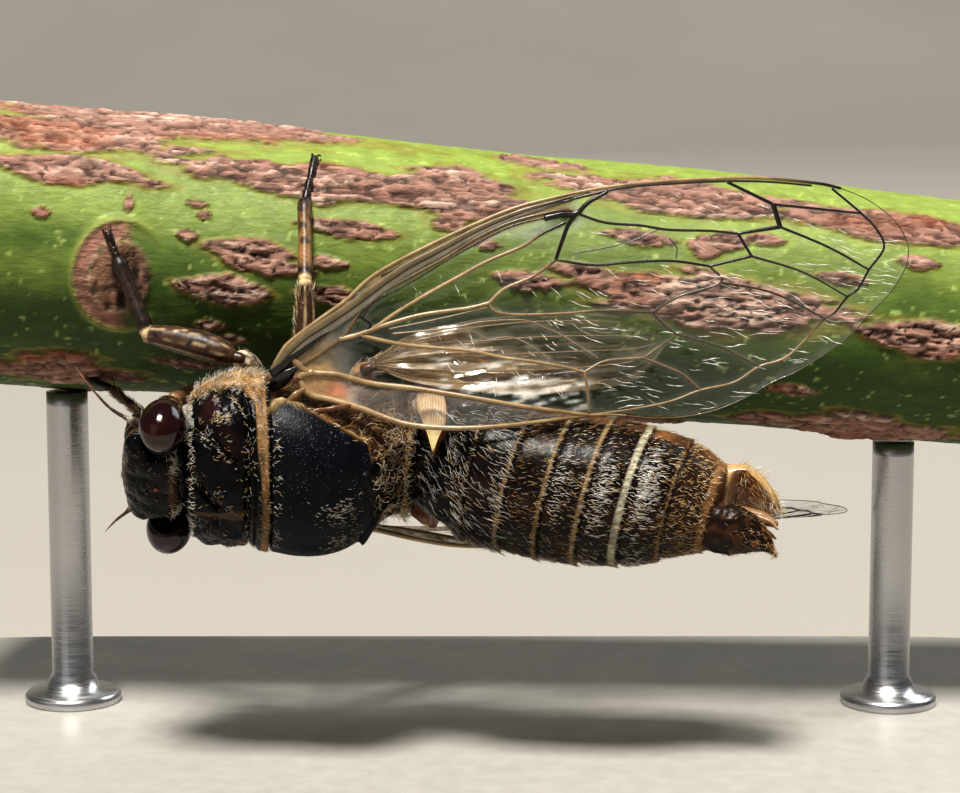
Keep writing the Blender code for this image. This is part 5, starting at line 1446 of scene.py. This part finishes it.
# Each leg: its hip's start and end, knee, ankle and foot tip, the thigh's and shin's radii, then colours.
PALE_HIP, BROWN_HIP = (0.60, 0.48, 0.34), (0.30, 0.17, 0.08)
FORE_THIGH, MID_THIGH, HIND_THIGH = (0.055, 0.027, 0.014), (0.045, 0.022, 0.012), (0.09, 0.04, 0.02)
HIND_SHIN = (0.30, 0.15, 0.06)
LEGS = [leg(*row) for row in (
    ("fore_right", at(3.95, 1.05, -3.45), at(3.55, 1.95, -2.95), seen(0.37, 3.98, -1.2),
     branch_spot(-12.3, -0.10, 0.34), branch_spot(-12.72, 0.06, 0.17), 0.50, 0.32,
     PALE_HIP, FORE_THIGH, (0.030, 0.015, 0.009)),
    ("mid_right", at(5.85, 1.05, -3.5), at(5.65, 2.0, -2.95), seen(5.55, 6.2, -0.6),
     branch_spot(-6.2, 0.41, 0.30), branch_spot(-6.05, 0.80, 0.17), 0.39, 0.29,
     BROWN_HIP, MID_THIGH, (0.25, 0.125, 0.045)),
    ("hind_right", at(7.6, 1.05, -3.4), at(7.85, 1.95, -2.95), at(9.7, 2.8, -3.5),
     branch_spot(2.0, -0.75, 0.32), branch_spot(3.6, -0.7, 0.17), 0.26, 0.155,
     BROWN_HIP, HIND_THIGH, HIND_SHIN),
    ("fore_left", at(3.95, -1.05, -3.45), at(3.45, -1.95, -2.95), seen(0.75, 0.75, -3.9),
     branch_spot(-12.7, -1.25, 0.32), branch_spot(-13.4, -1.2, 0.17), 0.38, 0.19,
     PALE_HIP, FORE_THIGH, (0.14, 0.065, 0.03)),
    ("mid_left", at(5.85, -1.05, -3.5), at(5.7, -2.0, -2.95), seen(5.3, 0.35, -6.4),
     branch_spot(-6.2, -2.2, 0.30), branch_spot(-6.45, -2.45, 0.17), 0.30, 0.19,
     BROWN_HIP, MID_THIGH, (0.34, 0.17, 0.055)),
    ("hind_left", at(7.6, -1.05, -3.4), at(7.9, -1.95, -2.95), seen(9.8, 0.6, -6.2),
     branch_spot(0.8, -2.1, 0.32), branch_spot(2.5, -2.18, 0.17), 0.26, 0.155,
     BROWN_HIP, HIND_THIGH, HIND_SHIN),
)]


# Hair

SILVER, WHITE, GOLD = (0.60, 0.60, 0.58), (0.80, 0.76, 0.68), (0.58, 0.40, 0.17)
AMBER, UMBER, SHEEN = (0.36, 0.19, 0.06), (0.07, 0.035, 0.015), (0.24, 0.30, 0.38)


def pick(count, start, end, turn0, turn1, weight):
    """Random places between two rows and two angles, thinned by a weight from 0 to 1."""
    a = rng.uniform(start, end, count * 3)
    turn = rng.uniform(turn0, turn1, count * 3)
    kept = rng.uniform(0, 1, count * 3) < weight(a, turn)
    return a[kept][:count], turn[kept][:count]


def colours(m, choices):
    """A colour for each hair, from pairs of a colour and its share."""
    share = np.array([c[1] for c in choices], float)
    chosen = rng.choice(len(choices), m, p=share / share.sum())
    return np.array([c[0] for c in choices])[chosen]


def patch_at(turn, share):
    """A hair's spot on its coat's map, from its angle and its share of the way along."""
    return np.stack([0.02 + 0.96 * turn / (2 * math.pi), share], -1)


class Coat:
    """Hairs as thin three-sided spikes, gathered for one piece. Some coats keep to one skin."""

    def __init__(self, skin=None, span=(0, 1)):
        self.skin, self.span = skin, span
        self.shape, self.uv = Form(), []

    def lay(self, where, length, lift, thick, tones, spread=0.3, side=0.0, against=None, **form):
        """Hairs over picked places of the skin, in degrees from the back's middle. They lie to the tail,
        but for a turn to the side or one given against the grain."""
        a, turn = pick(*where)
        root, normal, along, across = self.skin.roots(a, np.radians(turn) + math.pi)
        angle = rng.normal(0, spread, len(a)) + side
        if against is not None:
            angle = angle + against(a, turn)
        start, end = self.span
        patch = np.stack([0.5 + turn / 370, (a - start) / (end - start)], -1)
        self.grow(root, normal, turned(along, across, angle), (length, 0.22), (lift, 9, 88),
                  thick, tones, patch, **form)

    def grow(self, root, normal, way, lengths, lifts, thick, tones, patch, curl=0.0, droop=0.6, rings=4):
        """Hairs from their roots: each rises by its lift, then lies down along its way. Lengths are a
        middle one and its variation, and lifts a middle one in degrees, its spread and the most."""
        m = len(root)
        length = lengths[0] * np.exp(rng.normal(0, lengths[1], m))[:, None, None]
        lift = np.radians(np.clip(rng.normal(*lifts[:2], m), 3, lifts[2]))[:, None, None]
        colour = colours(m, tones)
        way = unit(way - normal * np.einsum("ij,ij->i", way, normal)[:, None])
        cross = np.cross(normal, way)
        t = np.linspace(0, 1, rings + 1)[None, :, None]
        phase = rng.uniform(0, 2 * math.pi, m)[:, None, None]
        winding = rng.uniform(0.6, 1.3, m)[:, None, None] * 2 * math.pi
        rise = np.sin(lift) * t - droop * np.sin(lift) * t**2
        run = np.cos(lift) * t + droop * np.sin(lift) * t**2 * 0.8
        wave = curl * t * np.sin(winding * t + phase)
        swirl = curl * t * (np.cos(winding * t + phase) - np.cos(phase)) * 0.6
        bend = rng.normal(0, 0.10, m)[:, None, None] * t**2
        spine = (root[:, None] + length * (normal[:, None] * np.maximum(rise + swirl, 0.004 * t)
                                           + way[:, None] * run + cross[:, None] * (wave + bend))
                 - normal[:, None] * 0.02 * (1 - t))
        ahead = unit(np.gradient(spine, axis=1))
        x = unit(np.cross(ahead, normal[:, None] + 0.31 * cross[:, None]))
        y = np.cross(ahead, x)
        width = (thick * (1 - 0.75 * t[0, :-1, 0] ** 1.3))[:, None, None]
        ring = spine[:, :-1, None] + width * turned(x[:, :-1, None], y[:, :-1, None], turns(3))
        points = np.concatenate([ring.reshape(m, -1, 3), spine[:, -1:]], axis=1)
        size = 3 * rings + 1
        first = (np.arange(m) * size)[:, None, None]
        k = np.arange(3)
        n = (k + 1) % 3
        quads = np.concatenate([np.stack([3 * j + k, 3 * j + n, 3 * j + 3 + n, 3 * j + 3 + k], -1)
                                for j in range(rings - 1)])
        tips = np.stack([3 * (rings - 1) + k, 3 * (rings - 1) + n, np.full(3, size - 1)], -1)
        faces = [(first + quads).reshape(-1, 4), (first + tips).reshape(-1, 3),
                 (first[:, :, 0] + np.array([[2, 1, 0]])).reshape(-1, 3)]
        shade = np.clip(rng.normal(1, 0.16, m), 0.6, 1.5)[:, None, None]
        tint = colour[:, None] * (shade * np.linspace(0.75, 1.15, rings + 1)[None, :, None])
        tint = np.concatenate([np.repeat(tint[:, :-1], 3, axis=1), tint[:, -1:]], axis=1)
        step = np.append(np.repeat(np.arange(rings), 3), rings) / rings
        around = np.append(np.tile(k, rings) / 2.0, 0.5)
        self.uv.append((patch[:, None] + 0.003 * (np.stack([around, step], -1)[None] - 0.5)).reshape(-1, 2))
        self.shape.add(points, faces, glossed(np.clip(tint, 0, 0.95), 0.35).reshape(-1, 4), solid=False)

    def build(self, name, slot="black_cuticle"):
        self.shape.build(name, HAIR, slot, (), np.clip(np.concatenate(self.uv), 0.001, 0.999))


def near_line(line, width):
    return lambda a, turn: bell(traced(a, abs(turn), line), 0, width)


def everywhere(a, turn):
    return np.ones(a.shape)


def past_edge(a, turn):
    """Degrees from the shield's edge down the flank."""
    return abs(turn) - np.interp(a, *SHIELD_EDGE)


def flecks(a, turn):
    return ramp(noise(level(a * 3.2, turn * 0.13), 120, 2), 0.0, 0.3)


def down(a, turn):
    """Thickest low on the shield's sides."""
    return 0.12 + 0.88 * bell(abs(turn), 70, 14) * bell(a, 5.7, 0.9)


def flank(a, turn):
    return ramp(past_edge(a, turn), 1, 6)


def thorax_coat():
    """Hair of the collar and its margin, then of the shield, its pit and the flanks."""
    front, rear = Coat(THORAX_SKIN, (2.2, 9.9)), Coat(THORAX_SKIN, (2.2, 9.9))
    pale = ((GOLD, 4), (WHITE, 5), (AMBER, 1))
    for line, count, width in (
            (OUTER_FISSURE, 700, 0.09), (INNER_FISSURE, 420, 0.08), (COLLAR_FURROW, 700, 0.10)):
        front.lay((count, 2.3, 4.4, -100, 100, near_line(line, width)), 0.16, 38, 0.009, pale, spread=0.9)
    front.lay((560, 2.6, 4.45, 55, 104, flecks), 0.16, 22, 0.009,
              ((GOLD, 3), (SILVER, 4), (AMBER, 1)), spread=0.6)
    front.lay((700, 2.5, 4.45, -104, 55, lambda a, t: 0.7 * flecks(a, t)), 0.15, 22, 0.010,
              ((GOLD, 2), (SILVER, 2), (AMBER, 2)), spread=0.6)
    # Pale hairs lean forward over the neck, thickest behind each eye.
    front.lay((520, 2.28, 2.5, -118, 118, lambda a, turn: 0.15 + 0.85 * bell(abs(turn), 88, 20)),
              0.22, 42, 0.009, ((WHITE, 5), (SILVER, 3), (GOLD, 2)), spread=0.6, side=math.pi, droop=0.5)
    # The side margin is fuzzy, with spiky hairs that break the outline.
    for k in (1, -1):
        front.lay((850, 2.4, 4.9, *sorted((k * 96, k * 126)), everywhere), 0.12, 30, 0.0075,
                  ((WHITE, 3), (GOLD, 5), (AMBER, 3)), spread=0.8, side=0.2 * k)
        front.lay((260, 2.5, 4.95, *sorted((k * 104, k * 126)), everywhere), 0.28, 58, 0.0075,
                  ((WHITE, 5), (SILVER, 2), (GOLD, 3)), spread=0.7, droop=0.25)
    front.lay((650, 4.46, 4.84, -124, 124, everywhere), 0.12, 20, 0.008,
              ((GOLD, 4), (WHITE, 2), (AMBER, 3)), spread=0.5)
    for low, high in ((-180, -128), (128, 180)):
        front.lay((350, 2.3, 9.6, low, high, everywhere), 0.28, 38, 0.012,
                  ((GOLD, 3), (SILVER, 2), (AMBER, 3)), spread=0.8)
    # The shield has a few white hairs at its front, fine silver down and a pale patch.
    rear.lay((90, 4.93, 5.15, -30, 72, everywhere), 0.16, 34, 0.009, ((WHITE, 5), (GOLD, 2)), spread=0.5)
    rear.lay((1700, 5.0, 8.2, -88, 88, down), 0.07, 12, 0.008, ((SHEEN, 5), (SILVER, 1)), spread=0.5, rings=3)
    rear.lay((380, 5.9, 8.3, -45, 45, lambda a, turn: blob(a, 7.1, 0.60, abs(turn), 14, 10)),
             0.17, 15, 0.0085, ((WHITE, 6), (GOLD, 3)), spread=0.4)
    rear.lay((1300, 5.4, 8.3, -95, 95, lambda a, turn: bell(past_edge(a, turn), 1, 3.5)),
             0.20, 28, 0.009, ((GOLD, 5), (AMBER, 3), (WHITE, 1)), spread=0.7)
    for k in (1, -1):
        rear.lay((560, 5.2, 9.6, *sorted((k * 70, k * 126)), flank), 0.36, 42, 0.0085,
                 ((GOLD, 3), (AMBER, 3), (UMBER, 5), (WHITE, 1)), spread=0.9, curl=0.10, rings=5)
    # Golden curls fill the pit and stand round the waist.
    rear.lay((470, 8.3, 9.7, -80, 80, lambda a, turn: blob(a, 9.0, 0.55, abs(turn), 36, 30, 4)),
             0.34, 46, 0.0085, ((GOLD, 5), (AMBER, 2), (WHITE, 4), (UMBER, 2)),
             spread=1.5, curl=0.22, rings=6, droop=0.5)
    rear.lay((300, 9.3, 9.8, -95, 95, lambda a, turn: bell(a, 9.62, 0.09)),
             0.28, 42, 0.009, ((GOLD, 4), (WHITE, 4)), spread=0.8, curl=0.15, rings=5)
    front.build("hair_thorax_front")
    rear.build("hair_thorax_rear")


def abdomen_coat():
    """Grey arcs of hair near the waist, then hair that lies back over each ring's pale edge."""
    fore, back = Coat(ABDOMEN_SKIN, (9.6, 20.1)), Coat(ABDOMEN_SKIN, (9.6, 20.1))
    edges = np.array([r[0] for r in RINGS])

    def by_edge(a, turn):
        left = edges[np.clip(np.searchsorted(edges, a, side="right"), 0, len(edges) - 1)] - a
        return ramp(-left, -0.34, -0.2) * ramp(left, 0.05, 0.09)

    def arcs(a, turn):
        bare = 0.8 * bell(abs(turn), 85, 16) * ramp(-a, -11.3, -10.9)
        return (0.35 + 0.65 * ramp(np.cos(4.2 * a + 0.05 * abs(turn)), -0.4, 0.6)) * (1 - bare)

    def silver(a, turn):
        s = abs(turn)
        return np.clip(blob(a, 16.3, 0.32, s, 48, 26) + blob(a, 17.7, 0.36, s, 55, 36)
                       + 0.5 * blob(a, 14.9, 0.35, s, 50, 24), 0, 1)

    def plain(a, turn):
        return 0.45 + 0.55 * ramp(noise(level(a * 1.4, turn * 0.06), 121, 2), -0.3, 0.4)

    def to_middle(a, turn):
        return -0.5 * np.sign(turn) * ramp(abs(turn), 10, 60)

    fore.lay((1050, 9.85, 13.3, -108, 108, arcs), 0.36, 22, 0.0085,
             ((SILVER, 7), (WHITE, 2), (GOLD, 2), (UMBER, 3)), spread=0.22, curl=0.05, rings=5,
             against=to_middle)
    fore.lay((200, 9.85, 11.6, -112, 112, everywhere), 0.24, 38, 0.0085, ((SILVER, 5), (GOLD, 3)),
             spread=0.5, curl=0.08, rings=5)
    back.lay((3100, 14.4, 18.4, -112, 112, silver), 0.21, 14, 0.0105, ((SILVER, 2), (WHITE, 6)), spread=0.28)
    fore.lay((1500, 13.3, 16.0, -112, 112, plain), 0.20, 18, 0.0095,
             ((GOLD, 2), (AMBER, 5), (UMBER, 5), (SILVER, 1)), spread=0.35)
    back.lay((1500, 16.0, 18.7, -112, 112, plain), 0.19, 18, 0.0095,
             ((GOLD, 2), (AMBER, 4), (UMBER, 5), (SILVER, 1)), spread=0.35)
    back.lay((1300, 18.6, 19.95, -180, 180, everywhere), 0.18, 26, 0.011,
             ((GOLD, 5), (AMBER, 4), (WHITE, 1)), spread=0.5)
    for coat, low, high in ((fore, 11.8, 14.7), (back, 15.6, 18.65)):
        coat.lay((850, low, high, -112, 112, by_edge), 0.18, 9, 0.009,
                 ((GOLD, 5), (WHITE, 2), (AMBER, 2)), spread=0.25)
    for low, high in ((112, 180), (-180, -112)):
        fore.lay((500, 10.0, 19.5, low, high, everywhere), 0.24, 24, 0.011,
                 ((GOLD, 4), (AMBER, 4), (SILVER, 2)), spread=0.5)
    fore.build("hair_abdomen_fore")
    back.build("hair_abdomen_back")


def tail_coat():
    """Long pale hairs stand off the tail's boat, with shorter ones on its dark piece."""
    coat = Coat()
    for number, (grid, count, length, lift, thick, tones, spread, droop) in enumerate((
            (TAIL_RINGS, 380, 0.17, 34, 0.008, ((GOLD, 4), (AMBER, 4), (UMBER, 2)), 0.5, 0.5),
            (BOAT_RINGS, 330, 0.34, 50, 0.0085, ((WHITE, 4), (GOLD, 5)), 0.6, 0.3))):
        rows = len(grid)
        row, turn = pick(count, 0.5, rows - 1.5, 0, 2 * math.pi, lambda r, w: ramp(r / rows, 0.1, 0.35))
        root, normal, along, across = Skin(grid).roots(row, turn)
        way = turned(along, across, rng.normal(0, spread, len(row)))
        patch = patch_at(turn, (number + 0.05 + 0.9 * row / rows) / 2)
        coat.grow(root, normal, way, (length, 0.22), (lift, 9, 85), thick, tones, patch, 0.05, droop)
    coat.build("hair_tail", "tail")


def head_coat():
    """Short pale hairs over the head, longer and white between the eyes and the collar."""
    coat, skin, rows = Coat(), Skin(HEAD_GRID), len(HEAD_GRID)
    for count, low, high, reach, length, lift, tones in (
            (420, 60, rows - 3, lambda r, c: 0.2 + 0.8 * ramp(-np.cos(c), -0.2, 0.6),
             0.085, 24, ((GOLD, 3), (SILVER, 3), (AMBER, 2))),
            (500, 60, rows - 8, lambda r, c: ramp(-np.cos(c), 0.35, 0.7) * ramp(abs(np.sin(c)), 0.3, 0.8),
             0.22, 40, ((WHITE, 5), (SILVER, 3), (GOLD, 1))),
            (700, 4, 60, everywhere, 0.18, 30, ((GOLD, 3), (SILVER, 2), (AMBER, 2)))):
        row, turn = pick(count, low, high, 0, 2 * math.pi, reach)
        root, normal, *_ = skin.roots(row, turn)
        way = ALONG + 0.6 * rng.normal(0, 1, (len(row), 3))
        coat.grow(root, normal, way, (length, 0.2), (lift, 10, 85), 0.0085, tones, patch_at(turn, row / rows))
    coat.build("hair_head")


def leg_coat():
    """Fine hairs along the hips, thighs, shins and feet."""
    coat = Coat()
    for number, joints in enumerate(LEGS):
        for part, (radius, count, length, tones) in enumerate((
                (0.40, 110, 0.24, ((WHITE, 4), (GOLD, 3))),
                (0.33, 330, 0.20, ((WHITE, 3), (GOLD, 4), (AMBER, 2))),
                (0.21, 330, 0.17, ((AMBER, 3), (UMBER, 4), (GOLD, 2))),
                (0.14, 80, 0.10, ((UMBER, 4), (AMBER, 2))))):
            p, q = joints[part:part + 2]
            way = unit(q - p)
            x = unit(np.cross(way, TOWARD))
            share, turn = rng.uniform(0.08, 0.97, count), rng.uniform(0, 2 * math.pi, count)
            normal = turned(x, np.cross(way, x), turn)
            root = p + (q - p) * share[:, None] + normal * (radius * 0.86)
            patch = patch_at(turn, (number * 4 + part + 0.05 + 0.9 * share) / 24)
            way = way + 0.25 * rng.normal(0, 1, root.shape)
            coat.grow(root, normal, way, (length, 0.2), (36, 10, 85), 0.010, tones, patch)
    coat.build("hair_legs", "leg")


thorax_coat()
abdomen_coat()
tail_coat()
head_coat()
leg_coat()


# Floor, light and camera

def backdrop():
    """A pale floor that sweeps up into a wall far behind."""
    bend = np.linspace(0.05, 1.57, 24)
    depth = np.concatenate([np.linspace(-900, 500, 30), 500 + 300 * np.sin(bend), np.full(6, 800.0)])
    height = np.concatenate([np.zeros(30), 300 - 300 * np.cos(bend), np.linspace(400, 1500, 6)])
    across = np.linspace(-1500, 1500, 20)
    grid = np.stack([np.stack([across, 0 * across + y, 0 * across + z], -1) for y, z in zip(depth, height)])
    mesh = bpy.data.meshes.new("floor")
    mesh.from_pydata((grid.reshape(-1, 3) * MM).tolist(), [],
                     grid_faces(len(depth), 20, close=False).tolist())
    mesh.shade_smooth()
    floor = bpy.data.objects.new("floor", mesh)
    bpy.context.scene.collection.objects.link(floor)
    look = Look("studio_floor")
    cloud = look.spread(look.noise(9, 3.0), 0, 1)
    look.shine(Base_Color=look.blend(cloud, (0.30, 0.28, 0.25), (0.335, 0.315, 0.285)), Roughness=0.85)
    mesh.materials.append(look.material)


def lamp(name, way, distance, size, power, colour=(1, 1, 1)):
    """A square area lamp that looks at the body's middle from a direction in the camera's axes."""
    data = bpy.data.lights.new(name, "AREA")
    data.size = size * MM
    data.energy = power
    data.color = colour
    lamp_object = bpy.data.objects.new(name, data)
    bpy.context.scene.collection.objects.link(lamp_object)
    way = unit(RIGHT * way[0] + UP * way[1] + TOWARD * way[2])
    aim = BODY_MIDDLE + UP * 2.0
    lamp_object.location = (aim + way * distance) * MM
    lamp_object.rotation_euler = Vector(way).to_track_quat("Z", "Y").to_euler()


backdrop()
bpy.context.scene.view_settings.view_transform = "Standard"
bpy.context.scene.view_settings.look = "Medium High Contrast"
lamp("key", (-0.10, 0.866, 0.50), 900, 200, 16.0, (1.0, 0.965, 0.90))
lamp("front", (-0.55, 0.25, 0.80), 600, 400, 0.16, (1.0, 0.98, 0.95))
lamp("rim", (0.65, 0.70, -0.35), 600, 290, 1.0, (0.93, 0.97, 1.0))
world = bpy.data.worlds.new("studio")
world.use_nodes = True
world.node_tree.nodes["Background"].inputs["Color"].default_value = (0.80, 0.84, 0.90, 1)
world.node_tree.nodes["Background"].inputs["Strength"].default_value = 0.10
bpy.context.scene.world = world

CAMERA_DISTANCE, FRAME_WIDTH = 90.0, 32.1
camera_data = bpy.data.cameras.new("camera")
camera_data.sensor_width = 36.0
camera_data.lens = camera_data.sensor_width * CAMERA_DISTANCE / FRAME_WIDTH
camera_data.clip_start = 0.001
camera_data.clip_end = 10.0
camera = bpy.data.objects.new("camera", camera_data)
bpy.context.scene.collection.objects.link(camera)
spot = (BODY_MIDDLE + UP * 2.93 + RIGHT * 0.15 + TOWARD * CAMERA_DISTANCE) * MM
axes = np.stack([RIGHT, UP, TOWARD], axis=1)
camera.matrix_world = Matrix([[*axes[row], spot[row]] for row in range(3)] + [[0, 0, 0, 1]])
bpy.context.scene.camera = camera
